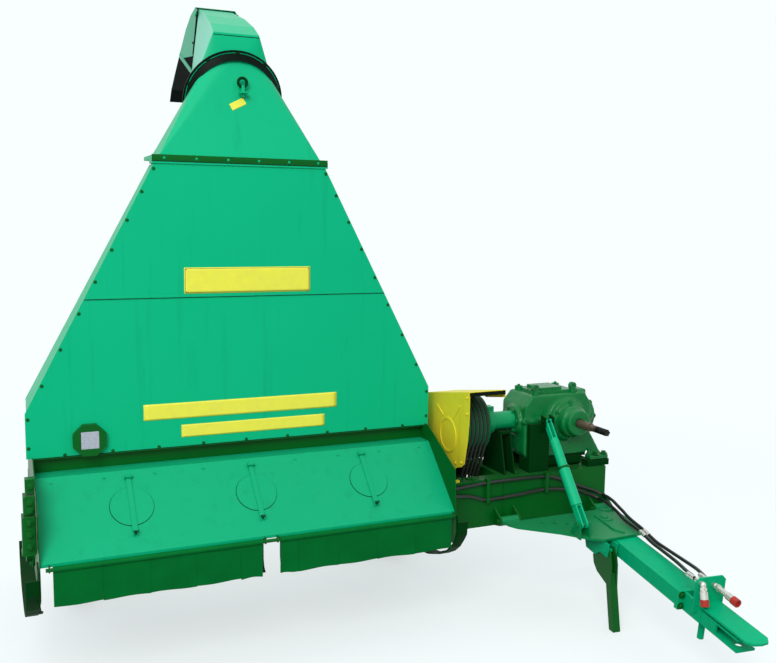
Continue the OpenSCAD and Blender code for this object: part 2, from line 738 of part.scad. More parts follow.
module drive_pulley() {
    shaft_r = 24;
    color(shade_green) place() {
        pulley(drive_r, shaft_r - 1, pulley_x, drive_y, drive_z);
        bar_x(shaft_r, pulley_x - 12, gear_x[0] + 50, drive_y, drive_z);
    }
}

module rotor_pulley() {
    color(shade_green) place() pulley(driven_r, rotor_shaft_r, pulley_x, rotor_y, rotor_z);
}

// Belts lie in both pulleys' grooves: each is a band round a loop of two arcs and two tangents
module v_belts() {
    sunk = 8;
    proud = 2;
    band_w = 11.4;
    gap = norm([rotor_y - drive_y, rotor_z - drive_z]);
    lean = atan2(rotor_z - drive_z, rotor_y - drive_y);
    turn = acos((drive_r - driven_r) / gap);
    color(rubber) place()
    for (i = [0 : belts - 1]) let (x = pulley_x + pulley_rim + groove_pitch * (i + 0.5))
        along_x(x - band_w / 2, x + band_w / 2) difference() {
            belt_loop(lean, turn, proud);
            belt_loop(lean, turn, -sunk);
        }
}
module belt_loop(lean, turn, lift) {
    polygon(concat(arc([drive_y, drive_z], drive_r + lift, lean + turn, lean - turn + 360, 24),
                   arc([rotor_y, rotor_z], driven_r + lift, lean - turn, lean + turn, 16)));
}

// Sheet guard: a shaped inner side and a band over the pulley
module belt_guard() {
    x0 = 1046;
    x1 = 1250;
    front = 51;
    top = 1092;
    rear = [560, 1001];                 // the roof falls to the rear
    side = [[front, top], [front, 949], [front + 11, 850], [front + 42, 719], [front + 69, 698],
            [front + 116, 684], [238, 640], [312, 560], [440, 380], [560, 330], [620, 400],
            [600, 700], rear];
    lip_w = 38;
    ring = [272, 832];
    emboss = 4;
    color(guard_yellow) place() {
        difference() {
            along_x(x0, x0 + sheet_t) polygon(side);
            bar_x(rotor_shaft_r + 8, x0 - 1, x0 + sheet_t + 1, rotor_y, rotor_z);
        }
        along_x(x0, x1) polygon(strip([[front, top], rear, [600, 700], [620, 400]], -sheet_t));
        along_x(x1 - sheet_t, x1) polygon([[front, top], rear, [rear[0], rear[1] - 10], [300, 1037],
                                           [240, 1020], [front, top - lip_w]]);
        // pressed ring and its two arms
        translate([x0 - emboss, ring[0], ring[1]]) rotate([0, 90, 0]) difference() {
            cylinder(r = 92, h = emboss);
            translate([0, 0, -1]) cylinder(r = 80, h = emboss + 2);
        }
        for (d = [-1, 1]) along_x(x0 - emboss, x0)
            polygon(strip([[ring[0] + d * 130, ring[1] + 150 - d * 20],
                           [ring[0] + d * 58, ring[1] + 88]], -d * 10));
        // stays to the frame
        block([x0, x0 + 40], [beam_y + 8, beam_y + 30], [beam_top, 600]);
        block([x0, x0 + 6], [beam_y + 8, beam_y + 40], [beam_top, 690]);
    }
}

// Input shaft: shoulder, plain journal and a six-spline end with a ring groove
module pto_shaft() {
    splines = 6;
    spline_len = 76;
    journal = 62;
    tip_y = cap_y - pto_free;
    color(steel) place() difference() {
        union() {
            bar_y(pto_r - 0.2, tip_y, tip_y + spline_len + 1, pto_x, drive_z);
            bar_y(pto_r, tip_y + spline_len, tip_y + spline_len + journal, pto_x, drive_z);
            bar_y(shoulder_r, tip_y + spline_len + journal, gear_y[0] + 30, pto_x, drive_z);
        }
        for (i = [0 : splines - 1]) translate([pto_x, tip_y - 1, drive_z])
            rotate([0, i * 360 / splines, 0]) translate([-4.3, 0, pto_r - 3])
                cube([8.6, spline_len, 10]);
        translate([pto_x, tip_y + 38, drive_z]) rotate([-90, 0, 0]) rotate_extrude()
            translate([pto_r + 1, 0]) circle(r = 4.5, $fn = 24);
    }
}

// ---- Rotor ----
// A flail hung between two lugs; it stands straight out at speed
module flail() {
    root = drum_r + 26;
    shank = [[-6, root - 14], [6, root - 14], [7, flail_r - 62], [20, flail_r - 22],
             [44, sqrt(flail_r * flail_r - 44 * 44)], [30, sqrt(flail_r * flail_r - 30 * 30) - 1],
             [6, flail_r - 16], [-5, flail_r - 58]];
    translate([-flail_w / 2, 0, 0]) rotate([90, 0, 90]) linear_extrude(flail_w) polygon(shank);
    for (x = [-flail_w / 2 - 9, flail_w / 2 + 1]) translate([x, 0, 0]) rotate([90, 0, 90])
        linear_extrude(8) polygon([[-26, drum_r - 6], [26, drum_r - 6], [12, root + 12], [-12, root + 12]]);
    translate([-flail_w / 2 - 14, 0, root]) rotate([0, 90, 0]) cylinder(r = 7, h = flail_w + 28, $fn = 24);
}

module rotor() {
    pitch = (housing_w - 2 * rotor_gap - flail_w - 40) / (row_flails - 1 + (flail_rows - 1) / flail_rows);
    first = -half_w + rotor_gap + flail_w / 2 + 20;
    color(shade_green) place() {
        bar_x(drum_r, -half_w + rotor_gap, half_w - rotor_gap, rotor_y, rotor_z);
        bar_x(rotor_shaft_r, -outer_w - 24, half_w, rotor_y, rotor_z);
        bar_x(rotor_shaft_r, half_w - 20, pulley_x + pulley_w + 8, rotor_y, rotor_z);
        for (row = [0 : flail_rows - 1], i = [0 : row_flails - 1])
            translate([first + (i + row / flail_rows) * pitch, rotor_y, rotor_z])
                rotate([row * 360 / flail_rows, 0, 0]) flail();
    }
}

// ---- Head and visor ----
crease_y = chute_y + 97;
crease_z = lip_z + 2250;
crest_y = 862;
crest_z = 2950;
lower_y = 1010;
lower_z = 2745;
visor_y = 850;
visor_z = 2922;
ring_gap = 0.08;

// Side view of the head from the collar round to its mouth
module head_form(inset) {
    front = head_w / 2 - inset;
    mouth = mouth_w / 2 - inset;
    hull() {
        on_collar() translate([0, 0, 10 + inset]) cylinder(r = collar_r + 3 - inset, h = 1, $fn = 48);
        translate([-front, crease_y + inset, crease_z - inset]) cube([2 * front, 1, 1]);
        translate([-front * 0.95, crease_y + 78 + inset, crease_z + 52 - inset])
            cube([2 * front * 0.95, 1, 1]);
        translate([-front * 0.88, crease_y + 208 + inset / 2, crease_z + 112 - inset])
            cube([2 * front * 0.88, 1, 1]);
        translate([-mouth, crest_y, crest_z - inset]) cube([2 * mouth, 1, 1]);
        translate([-mouth, lower_y, lower_z]) cube([2 * mouth, 1, 1]);
    }
}

module head() {
    floor_y = 716;
    floor_z = 2560;
    under = [[642, 2100], [642, 2304], [floor_y, floor_z], [lower_y - 14, lower_z - 2],
             [lower_y - 10, lower_z + 14], [1200, 2740], [1200, 2100]];
    color(green) place() {
        difference() {
            union() {
                head_form(0);
                on_collar() translate([0, 0, 8]) cylinder(r = collar_r + 34, h = 7, $fn = 96);
                on_collar() translate([0, 0, 8]) cylinder(r = collar_r + 5, h = 30);
                bar_x(8, -mouth_w / 2 - visor_gap - 12, mouth_w / 2 + visor_gap + 12, visor_y, visor_z);
            }
            head_form(sheet_t);
            on_collar() translate([0, 0, 7.9]) cylinder(r = collar_r + ring_gap, h = neck - 7);
            on_collar() translate([0, 0, 7]) cylinder(r = collar_r - 2, h = 40);
            along_x(-400, 400) polygon(under);
            along_x(-400, 400) polygon([[crest_y + 2, crest_z - 6], [crest_y + 2, crest_z + 50],
                [1200, 3000], [1200, 2700], [lower_y - 12, lower_z + 2]]);
        }
        // floor that closes the collar's lower half
        intersection() {
            along_x(-collar_r, collar_r) polygon(strip([[636, 2288], [floor_y, floor_z]], -sheet_t));
            head_form(0.5);
        }
    }
}

// Hinged visor: a long curved back, two short cheeks and the straps that hold them
visor_half = mouth_w / 2 + visor_gap;
module visor() {
    back = [[866, 2958], [985, 2937], [1106, 2892], [1258, 2806], [1418, 2712],
            [1530, 2640], [visor_tip_y, 2580]];
    cheek = [[818, 2930], [866, 2959], [985, 2938], [1106, 2893], [1258, 2807],
             [1272, 2776], [1201, 2766], [955, 2738], [936, 2742], [881, 2829]];
    strap = [[1262, 2800], [1276, 2782], [748, 2556], [736, 2572]];
    color(green) place() {
        along_x(-visor_half - sheet_t, visor_half + sheet_t) polygon(strip(back, sheet_t));
        mirror_x() difference() {
            union() {
                along_x(visor_half, visor_half + sheet_t) polygon(cheek);
                bar_x(15, visor_half, visor_half + sheet_t + 3, visor_y, visor_z);
            }
            bar_x(8 + fit_gap, visor_half - 1, visor_half + 10, visor_y, visor_z);
        }
        mirror_x() along_x(visor_half + sheet_t - 1, visor_half + sheet_t + 4) polygon(strap);
    }
}

// ---- Hitch ----
// Frame of the hitch: origin on its hinge line, y rearwards along the plate, z up from it
module on_hitch() { translate([0, hinge_y, hinge_z]) rotate([hitch_lean, 0, 0]) children(); }
king_x = 1862;
king_y = -130;                          // place of the drawbar's pivot on the plate
deck = -plate_t / 2;                    // under side of the sector plate
drawbar_top = deck - 4;
strut_pin = [-282, 66];                 // the strut's lower pin in the hitch frame, y and z
module on_drawbar() {
    on_hitch() translate([king_x, king_y, 0]) rotate([0, 0, -drawbar_yaw]) children();
}

module hitch_frame() {
    barrel_r = 24;
    plate = [[1300, -8], [1400, -8], [1400, -30], [1890, -30], [1890, -8], [1985, -8],
             [1985, -330], [1950, -345], [1700, -352], [1640, -318],
             [1528, -218], [1346, -96], [1318, -60]];
    color(green) place() on_hitch() difference() {
        union() {
            translate([0, 0, deck]) linear_extrude(plate_t) polygon(plate);
            for (x = hinge_sides) bar_x(barrel_r, x[0], x[1], 0, 0);
            // strut lugs
            for (x = [strut_x - 34, strut_x + 24]) along_x(x, x + 10)
                polygon([[strut_pin[0] - 30, 0], [strut_pin[0] + 60, 0],
                         [strut_pin[0] + 20, strut_pin[1] + 14], [strut_pin[0] - 14, strut_pin[1] + 14]]);
            bar_x(strut_pin_r, strut_x - 40, strut_x + 40, strut_pin[0], strut_pin[1]);
            // king pin boss
            bar_z(44, 0, plate_t / 2 + 4, king_x, king_y);
            bar_z(king_r, drawbar_top - drawbar_h - 14, plate_t / 2 + 10, king_x, king_y);
        }
        for (x = hinge_sides) bar_x(hinge_pin_r + fit_gap, x[0] - 1, x[1] + 1, 0, 0);
        // setting holes for the working and the road position
        for (p = [[1500, -92], [1560, -112], [1620, -140]])
            translate([p[0], p[1], -20]) cylinder(r = 11, h = 40);
    }
}

module drawbar() {
    tail = 62;
    front = 742;
    color(green) place() on_drawbar() difference() {
        union() {
            block([-drawbar_w / 2, drawbar_w / 2], [-front, tail],
                  [drawbar_top - drawbar_h, drawbar_top]);
            block([-drawbar_w / 2 - 10, drawbar_w / 2 + 10], [-front - 12, -front],
                  [drawbar_top - drawbar_h - 8, drawbar_top + 8]);
            // bracket of the stand on the bar's right side
            block([stand_x - stand_w / 2 - 9, -drawbar_w / 2 + 1], [stand_y + 60, stand_y + 170],
                  [drawbar_top - 8, drawbar_top]);
            for (x = [stand_x - stand_w / 2 - 9, stand_x + stand_w / 2 + 1]) along_x(x, x + 8)
                polygon([[stand_y - 30, drawbar_top], [stand_y + 176, drawbar_top],
                         [stand_y + 184, drawbar_top - 70], [stand_y + 168, drawbar_top - 104],
                         [stand_y + 80, drawbar_top - 104], [stand_y + 40, stand_z - 24],
                         [stand_y - 24, stand_z - 24]]);
            bar_x(stand_pin_r, stand_x - stand_w / 2 - 14, stand_x + stand_w / 2 + 14,
                  stand_y, stand_z);
        }
        block([-drawbar_w / 2 + drawbar_t, drawbar_w / 2 - drawbar_t], [-front - 20, tail + 1],
              [drawbar_top - drawbar_h + drawbar_t, drawbar_top - drawbar_t]);
        bar_z(king_r + fit_gap, drawbar_top - drawbar_h - 1, drawbar_top + 1, 0, 0);
    }
}

// Hitch head bolted to the drawbar's end: cheeks, tongue plate, jaw and coupler bracket
head_y = -754;
tongue_y = [-1215, -850];
jaw_y = [-1130, -880];
jaw_pin_y = -1085;
module hitch_head() {
    wide = 116;
    wall = 10;
    tongue_t = 10;
    jaw_top = drawbar_top - 22;
    jaw_low = jaw_top - 62;
    color(green) place() on_drawbar() difference() {
        union() {
            block([-drawbar_w / 2 - 10, drawbar_w / 2 + 10], [head_y - 14, head_y],
                  [drawbar_top - drawbar_h - 8, drawbar_top + 8]);
            for (x = [-52, 42]) block([x, x + 10], [jaw_y[1] - 10, head_y - 14],
                                      [jaw_low, drawbar_top + 4]);
            // tongue plate with a rounded end
            translate([0, 0, drawbar_top - 6]) linear_extrude(tongue_t) polygon([
                [-wide / 2, tongue_y[1] + 40], [wide / 2, tongue_y[1] + 40], [wide / 2, tongue_y[0] + 36],
                [wide / 2 - 22, tongue_y[0] + 6], [0, tongue_y[0]], [-wide / 2 + 22, tongue_y[0] + 6],
                [-wide / 2, tongue_y[0] + 36]]);
            // jaw, open to the front
            for (z = [jaw_low, jaw_top - wall]) block([-48, 48], jaw_y, [z, z + wall]);
            for (x = [-48, 38]) block([x, x + 10], [jaw_y[1] - 110, jaw_y[1]], [jaw_low, jaw_top]);
            block([-48, 48], [jaw_y[1] - 12, jaw_y[1]], [jaw_low, drawbar_top]);
            // upright coupler bracket
            along_y(-868, -860) polygon([[-78, drawbar_top - 40], [78, drawbar_top - 40],
                [78, 96], [60, 114], [-60, 114], [-78, 96]]);
            // socket and post under the head
            bar_z(24, jaw_low - 8, drawbar_top - 6, 8, -806);
            bar_z(15, jaw_low - 112, jaw_low, 12, -836);
            block([-14, 34], [-860, -790], [jaw_low - 10, jaw_low]);
        }
        bar_z(hitch_pin_r, jaw_low - 1, jaw_top + 1, 0, jaw_pin_y);
        for (c = coupler_table) bar_y(10 + fit_gap, -870, -858, c[0], c[1]);
    }
}

// Quick couplers on elbows in the bracket: [x, z, downward lean, length]
coupler_table = [[-58, 94, 70, 64], [10, 80, 2, 118]];
elbow_y = -886;
sleeve = 34;
module at_coupler(c) {
    on_drawbar() translate([c[0], elbow_y, c[1]]) rotate([90 + c[2], 0, 0]) children();
}
module couplers() {
    color(steel) place() for (c = coupler_table) {
        on_drawbar() {
            bar_y(10, elbow_y, -838, c[0], c[1]);
            bar_y(15, -860, -852, c[0], c[1]);
        }
        at_coupler(c) {
            sphere(r = 13);
            cylinder(r = 11, h = 20);
            translate([0, 0, 12]) cylinder(r = 16, h = 14, $fn = 6);
            translate([0, 0, 24]) cylinder(r = 13, h = c[3] - 24);
            translate([0, 0, c[3] - sleeve]) cylinder(r = 17, h = sleeve);
        }
    }
}
module coupler_caps() {
    color(warning_red) place() for (c = coupler_table) at_coupler(c)
        translate([0, 0, c[3]]) difference() {
            cylinder(r = 19, h = 30);
            translate([0, 0, 22]) cylinder(r = 12, h = 10);
        }
}

// ---- Strut, stand ----
strut_low = [strut_x, hinge_y + strut_pin[0] * cos(hitch_lean) - strut_pin[1] * sin(hitch_lean),
             hinge_z + strut_pin[0] * sin(hitch_lean) + strut_pin[1] * cos(hitch_lean)];
strut_high = [strut_x, strut_top_y - 4, strut_top_z];
strut_len = norm(strut_high - strut_low);
strut_lean = atan2(strut_high[1] - strut_low[1], strut_high[2] - strut_low[2]);
// Frame of the strut: origin on its upper pin, z up along it
module on_strut() { translate(strut_high) rotate([-strut_lean, 0, 0]) children(); }
strut_bore = 19;
strut_top = 108;                        // from the upper pin to the tube's top
strut_split = 274;                      // from the upper pin to the joint of its halves
strut_stop = 1;                         // the halves nearly meet when the strut is shut

module strut_tube() {
    fork_w = 34;
    fork_d = 28;
    color(green) place() on_strut() difference() {
        union() {
            for (x = [-fork_w / 2, fork_w / 2 - 8]) {
                translate([x, -fork_d / 2, -strut_top]) cube([8, fork_d, strut_top - 14]);
                bar_x(15, x, x + 8, 0, 0);
            }
            translate([-fork_w / 2, -fork_d / 2, -strut_top - 2]) cube([fork_w, fork_d, 12]);
            translate([0, 0, -strut_split]) cylinder(r = strut_r, h = strut_split - strut_top);
        }
        bar_x(strut_pin_r + fit_gap, -20, 20, 0, 0);
        translate([0, 0, -strut_split - 1])
            cylinder(r = strut_bore + 0.3, h = strut_split - strut_top - 12);
    }
}
module strut_rod() {
    foot = 104;
    eye_w = 38;
    cheek_t = 8;
    color(green) place() on_strut() difference() {
        union() {
            translate([0, 0, -strut_len + foot])
                cylinder(r = strut_r + 4, h = strut_len - foot - strut_split - strut_stop);
            translate([0, 0, -strut_split - strut_stop - 1])
                cylinder(r = strut_bore, h = strut_split - strut_top - 30);
            for (x = [-eye_w / 2, eye_w / 2 - cheek_t]) {
                translate([x, -18, -strut_len]) cube([cheek_t, 36, foot + 10]);
                bar_x(18, x, x + cheek_t, 0, -strut_len);
            }
            translate([-eye_w / 2, -18, -strut_len + foot - 8]) cube([eye_w, 36, 8]);
        }
        bar_x(strut_pin_r + 1, -25, 25, 0, -strut_len);
    }
}

// The stand leans forward; its sole is cut level with the ground
stand_w = 40;
stand_pin_r = 10;
stand_x = -drawbar_w / 2 - stand_w / 2 - 18;  // in the drawbar's frame, as are y and z
stand_y = -236;
stand_z = drawbar_top - 46;
stand_lean = 12;
module stand() {
    reach = 460;
    gusset = [[-38, -20], [-22, 16], [20, 16], [128, -33], [126, -77], [100, -116],
              [20, -168], [-20, -182], [-40, -67]];
    color(shade_green) place() difference() {
        on_drawbar() translate([stand_x, stand_y, stand_z])
            rotate([-stand_lean - hitch_lean, 0, 0]) difference() {
                union() {
                    for (x = [-stand_w / 2, stand_w / 2 - 8]) along_x(x, x + 8) polygon(gusset);
                    block([-stand_w / 2, stand_w / 2], [-stand_w / 2, stand_w / 2], [-reach, -110]);
                }
                bar_x(stand_pin_r + fit_gap, -stand_w, stand_w, 0, 0);
                block([-stand_w / 2 + 4, stand_w / 2 - 4], [-stand_w / 2 + 4, stand_w / 2 - 4],
                      [-reach - 1, -120]);
            }
        block([1400, 2000], [-600, 0], [-ride_h - 200, -ride_h]);
    }
}

// ---- Axle and wheels ----
lift_top_y = rear_y + 112;
lift_top_z = mast_top - 34;
lever = 150;
lever_lean = 18;
lift_low_y = axle_y + lever * cos(lever_lean);
lift_low_z = axle_z + lever * sin(lever_lean);
arm_t = 26;

module axle() {
    arm_x = [wheel_right_x + tyre_w / 2 + 12, wheel_left_x - tyre_w / 2 - 12 - arm_t];
    arm = [[axle_y - 46, axle_z + 10], [axle_y, axle_z + 46], [axle_y + 30, axle_z + 40],
           [wheel_y + 34, wheel_z + 30], [wheel_y + 34, wheel_z - 34], [wheel_y - 24, wheel_z - 36],
           [axle_y - 36, axle_z - 30]];
    color(shade_green) place() {
        union() {
            bar_x(axle_r, arm_x[0], arm_x[1] + arm_t, axle_y, axle_z);
            for (x = arm_x) along_x(x, x + arm_t) polygon(arm);
            bar_x(stub_r, wheel_right_x - 60, arm_x[0] + 1, wheel_y, wheel_z);
            bar_x(stub_r, arm_x[1] + 1, wheel_left_x + 60, wheel_y, wheel_z);
            // lever of the lift cylinder
            for (x = [mast_x - lift_eye / 2 - 13, mast_x + lift_eye / 2 + 3]) along_x(x, x + 10)
                polygon([[axle_y - 30, axle_z - 30], [lift_low_y + 10, lift_low_z - 20],
                         [lift_low_y + 22, lift_low_z + 14], [lift_low_y - 8, lift_low_z + 22],
                         [axle_y - 8, axle_z + 44]]);
            bar_x(cyl_pin_r, mast_x - lift_eye / 2 - 18, mast_x + lift_eye / 2 + 18,
                  lift_low_y, lift_low_z);
        }
    }
}

rim_half = 62;                          // half the rim's width
module rim(x, outward) {
    disc_t = 10;
    hub_r = 46;
    bolts = 5;
    flange = 92;
    half = rim_half;
    color(green) place() translate([x, wheel_y, wheel_z]) rotate([0, outward * 90, 0]) difference() {
        union() {
            // rolled rim with its two flanges
            rotate_extrude($fn = 96) polygon([[rim_r - 18, -flange / 2 + 6], [rim_r - 18, flange / 2 - 6],
                [rim_r - 4, half], [rim_r + 12, half + 3], [rim_r + 12, half - 2], [rim_r, half - 6],
                [rim_r - 12, flange / 2 - 12], [rim_r - 12, -flange / 2 + 12], [rim_r, -half + 6],
                [rim_r + 12, -half + 2], [rim_r + 12, -half - 3], [rim_r - 4, -half]]);
            // dished disc
            rotate_extrude($fn = 96) polygon([[hub_r - 4, 22], [92, 22], [128, 2], [rim_r - 16, 2],
                [rim_r - 16, -disc_t + 2], [124, -disc_t + 2], [88, 22 - disc_t], [hub_r - 4, 22 - disc_t]]);
            translate([0, 0, -56]) cylinder(r = hub_r, h = 100);
            translate([0, 0, 44]) cylinder(r = hub_r - 10, h = 22);
            for (i = [0 : bolts - 1]) rotate(i * 360 / bolts) translate([74, 0, 20])
                cylinder(r = 11, h = 16, $fn = 6);
        }
        translate([0, 0, -57]) cylinder(r = stub_r + fit_gap, h = 118);
    }
}
module rim_left() { rim(wheel_left_x, 1); }
module rim_right() { rim(wheel_right_x, -1); }

module tyre(x) {
    w = tyre_w / 2;
    shoulder = tyre_r - 26;
    bead = 64;
    groove_r = 9;
    color(rubber) place() translate([x, wheel_y, wheel_z]) rotate([0, 90, 0])
        rotate_extrude($fn = 96) difference() {
            polygon(concat([[rim_r + 0.3, -rim_half + 7], [rim_r + 12.4, -rim_half + 2.7],
                 [rim_r + 12.4, -bead - 6], [rim_r + 46, -w + 6]],
                 [[tyre_r - 84, -w], [shoulder, -w + 8], [tyre_r - 8, -w + 22], [tyre_r, -w + 42],
                 [tyre_r, w - 42], [tyre_r - 8, w - 22], [shoulder, w - 8], [tyre_r - 84, w]],
                [[rim_r + 46, w - 6], [rim_r + 12.4, bead + 6], [rim_r + 12.4, rim_half - 2.7],
                 [rim_r + 0.3, rim_half - 7]]));
            for (z = [-34, 0, 34]) translate([tyre_r - groove_r, z - 4]) square([groove_r + 1, 8]);
        }
}
module tyre_left() { tyre(wheel_left_x); }
module tyre_right() { tyre(wheel_right_x); }

// Lift cylinder, from the mast down to the axle's lever
lift_len = norm([lift_top_y - lift_low_y, lift_top_z - lift_low_z]);
lift_lean = atan2(lift_top_y - lift_low_y, lift_top_z - lift_low_z);
lift_rod_r = 16;
lift_eye = 30;                          // width of the rod's eye
eye_slack = 3.5;                        // the eye's wear clearance on its pin
barrel_len = 330;
module on_lift() { translate([mast_x, lift_top_y, lift_top_z]) rotate([-lift_lean, 0, 0]) children(); }

module lift_barrel() {
    color(shade_green) place() on_lift() difference() {
        union() {
            bar_x(22, -28, 28, 0, 0);
            translate([0, 0, -barrel_len]) cylinder(r = barrel_r, h = barrel_len - 14);
            for (z = [-58, -barrel_len + 34]) translate([0, 0, z]) rotate([-90, 0, 0])
                cylinder(r = 11, h = barrel_r + 16);
        }
        bar_x(cyl_pin_r + fit_gap, -30, 30, 0, 0);
        translate([0, 0, -barrel_len - 1]) cylinder(r = lift_rod_r + 0.3, h = 34);
        translate([0, 0, -barrel_len + 30]) cylinder(r = barrel_r - 8, h = barrel_len - 70);
    }
}
module lift_rod() {
    color(steel) place() on_lift() {
        translate([0, 0, -lift_len + 20]) cylinder(r = lift_rod_r, h = lift_len - barrel_len + 100);
        translate([0, 0, -barrel_len + 96]) cylinder(r = barrel_r - 8.3, h = 28);
        difference() {
            bar_x(24, -lift_eye / 2, lift_eye / 2, 0, -lift_len);
            bar_x(cyl_pin_r + eye_slack, -lift_eye, lift_eye, 0, -lift_len);
        }
    }
}

// ---- Hydraulic hoses, clipped to the machine all the way ----
// Routes as points [x, y, z]; the frame's are in the machine's level frame, its y is hose_y
frame_routes = [
    [[951, 188, 560], [1130, 188, 572], [1240, 188, 578], [1420, 188, 580], [1600, 188, 574],
     [1700, 188, 545], [1800, 188, 505], [1880, 188, 474], [1925, 182, 456], [1947, 164, 446],
     [1950, 146, 443], [1950, 130, 443]],
    [[951, 188, 535], [1130, 188, 518], [1240, 188, 488], [1420, 188, 494], [1600, 188, 505],
     [1800, 188, 478], [1860, 188, 453], [1903, 182, 436], [1925, 164, 426], [1928, 146, 423],
     [1928, 130, 423]]];
bridge_routes = [
    [[1950, 130, 443], [1950, 114, 443], [1954, 70, 432], [1954, 20, 414], [1950, -20, 404]],
    [[1928, 130, 423], [1928, 114, 423], [1932, 70, 412], [1932, 20, 400], [1926, -20, 392]]];
// the drawbar's are in the drawbar's own frame
drawbar_routes = [
    [[92, -40, 38], [94, -90, 34], [94, -220, 28], [92, -330, 18], [90, -420, 22], [84, -560, 34],
     [60, -690, 56], [24, -790, 76], [10, -820, 80], [10, -836.5, 80]],
    [[68, -40, 26], [70, -90, 24], [72, -220, 24], [70, -330, 14], [66, -420, 16], [50, -560, 26],
     [8, -690, 50], [-44, -790, 88], [-58, -820, 94], [-58, -836.5, 94]]];

// Points of a smooth curve through a route, with n steps from one point to the next
function curve(p, n) = concat([for (i = [0 : len(p) - 2], k = [0 : n - 1])
    let (a = p[max(0, i - 1)], b = p[i], c = p[i + 1], d = p[min(len(p) - 1, i + 2)], t = k / n)
        0.5 * (2 * b + (c - a) * t + (2 * a - 5 * b + 4 * c - d) * t * t
               + (3 * b - a - 3 * c + d) * t * t * t)], [p[len(p) - 1]]);
// A round tube swept along a route
module hose(route) {
    sides = 10;
    p = curve(route, 3);
    n = len(p);
    last = len(route) - 1;
    rings = [for (i = [0 : n - 1])
        let (d = unit(i == 0 ? route[1] - route[0] : i == n - 1 ? route[last] - route[last - 1]
                      : p[i + 1] - p[i - 1]),
             u = unit(cross(d, [0, 0, 1])), v = cross(u, d))
            for (k = [0 : sides - 1])
                p[i] + hose_r * (cos(360 * k / sides) * u + sin(360 * k / sides) * v)];
    walls = [for (i = [0 : n - 2], k = [0 : sides - 1])
        let (a = i * sides + k, b = i * sides + (k + 1) % sides) [a, b, b + sides, a + sides]];
    polyhedron(rings, concat(walls, [[for (k = [sides - 1 : -1 : 0]) k]],
                             [[for (k = [0 : sides - 1]) (n - 1) * sides + k]]));
}
module frame_hoses() {
    color(rubber) place() for (route = frame_routes) hose(route);
}
module bridge_hoses() {
    color(rubber) place() for (route = bridge_routes) hose(route);
}
module drawbar_hoses() {
    color(rubber) place() on_drawbar() for (route = drawbar_routes) hose(route);
}

front_panel();
housing_shell();
side_plates();
chute_lower();
chute_upper();
reflector();
skids();
flap_rod();
main_beam();
rear_frame();
rear_hitch();
pedestals();
gearbox();
gearbox_cover();
bearing_tube();
belt_guard();
v_belts();
frame_hoses();
rotor();
rotor_pulley();
drive_pulley();
pto_shaft();
head();
visor();
flap_left();
flap_right();
hatch_left();
hatch_middle();
hatch_right();
hitch_frame();
drawbar();
hitch_head();
couplers();
coupler_caps();
bridge_hoses();
drawbar_hoses();
strut_tube();
strut_rod();
stand();
axle();
tyre_left();
rim_left();
tyre_right();
rim_right();
lift_barrel();
lift_rod();
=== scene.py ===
import math

import bpy
import numpy as np
from mathutils import Matrix, Vector


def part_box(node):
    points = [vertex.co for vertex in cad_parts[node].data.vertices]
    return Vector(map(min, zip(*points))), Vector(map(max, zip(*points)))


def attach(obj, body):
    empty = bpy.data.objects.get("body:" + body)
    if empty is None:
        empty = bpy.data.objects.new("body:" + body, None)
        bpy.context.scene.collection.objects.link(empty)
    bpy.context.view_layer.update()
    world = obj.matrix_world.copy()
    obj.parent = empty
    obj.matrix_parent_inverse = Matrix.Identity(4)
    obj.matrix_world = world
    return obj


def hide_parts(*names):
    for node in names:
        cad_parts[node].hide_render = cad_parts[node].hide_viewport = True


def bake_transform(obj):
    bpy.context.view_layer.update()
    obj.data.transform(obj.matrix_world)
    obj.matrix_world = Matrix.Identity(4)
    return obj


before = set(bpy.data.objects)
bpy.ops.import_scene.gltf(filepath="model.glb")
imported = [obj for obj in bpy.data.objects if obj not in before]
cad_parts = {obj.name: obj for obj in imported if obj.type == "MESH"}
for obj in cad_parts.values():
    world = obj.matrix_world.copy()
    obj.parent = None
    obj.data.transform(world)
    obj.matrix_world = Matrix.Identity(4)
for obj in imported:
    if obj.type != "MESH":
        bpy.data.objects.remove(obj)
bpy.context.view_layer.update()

# ---- Camera ----
# A standing person's eye, in front of the machine and to its right, looking slightly down at it.

EYE = Vector((-1.6125, -4.0133, 2.040))
LOOK_YAW, LOOK_PITCH, LOOK_ROLL = (math.radians(a) for a in (23.795, -7.025, 0.68))

camera = bpy.data.objects.new("camera", bpy.data.cameras.new("camera"))
camera.data.lens = 42.35
camera.data.sensor_width = 36.0
camera.data.clip_end = 200.0
sight = Vector((math.sin(LOOK_YAW) * math.cos(LOOK_PITCH),
                math.cos(LOOK_YAW) * math.cos(LOOK_PITCH), math.sin(LOOK_PITCH)))
facing = sight.to_track_quat("-Z", "Y").to_matrix() @ Matrix.Rotation(LOOK_ROLL, 3, "Z")
camera.matrix_world = Matrix.Translation(EYE) @ facing.to_4x4()
bpy.context.scene.collection.objects.link(camera)
bpy.context.scene.camera = camera
bpy.context.scene.view_settings.view_transform = "Standard"

# ---- Studio: floor, sky light and one soft lamp ----
# A pale floor that keeps the machine's shadow and fades into the backdrop, under an even dome
# that is brighter overhead, with one large soft lamp.


def hex_colour(text):
    """An sRGB colour such as "#1fb57f" as linear red, green, blue and alpha."""
    shares = [int(text[i:i + 2], 16) / 255 for i in (1, 3, 5)]
    return [s / 12.92 if s < 0.04045 else ((s + 0.055) / 1.055) ** 2.4 for s in shares] + [1.0]


def add(tree, kind, values=None, **settings):
    """A node of that kind: settings go on it, values on its sockets, and a socket as a value is a link."""
    node = tree.nodes.new(kind)
    for name, value in settings.items():
        setattr(node, name, value)
    for key, value in (values or {}).items():
        if isinstance(value, bpy.types.NodeSocket):
            tree.links.new(value, node.inputs[key])
        else:
            node.inputs[key].default_value = value
    return node


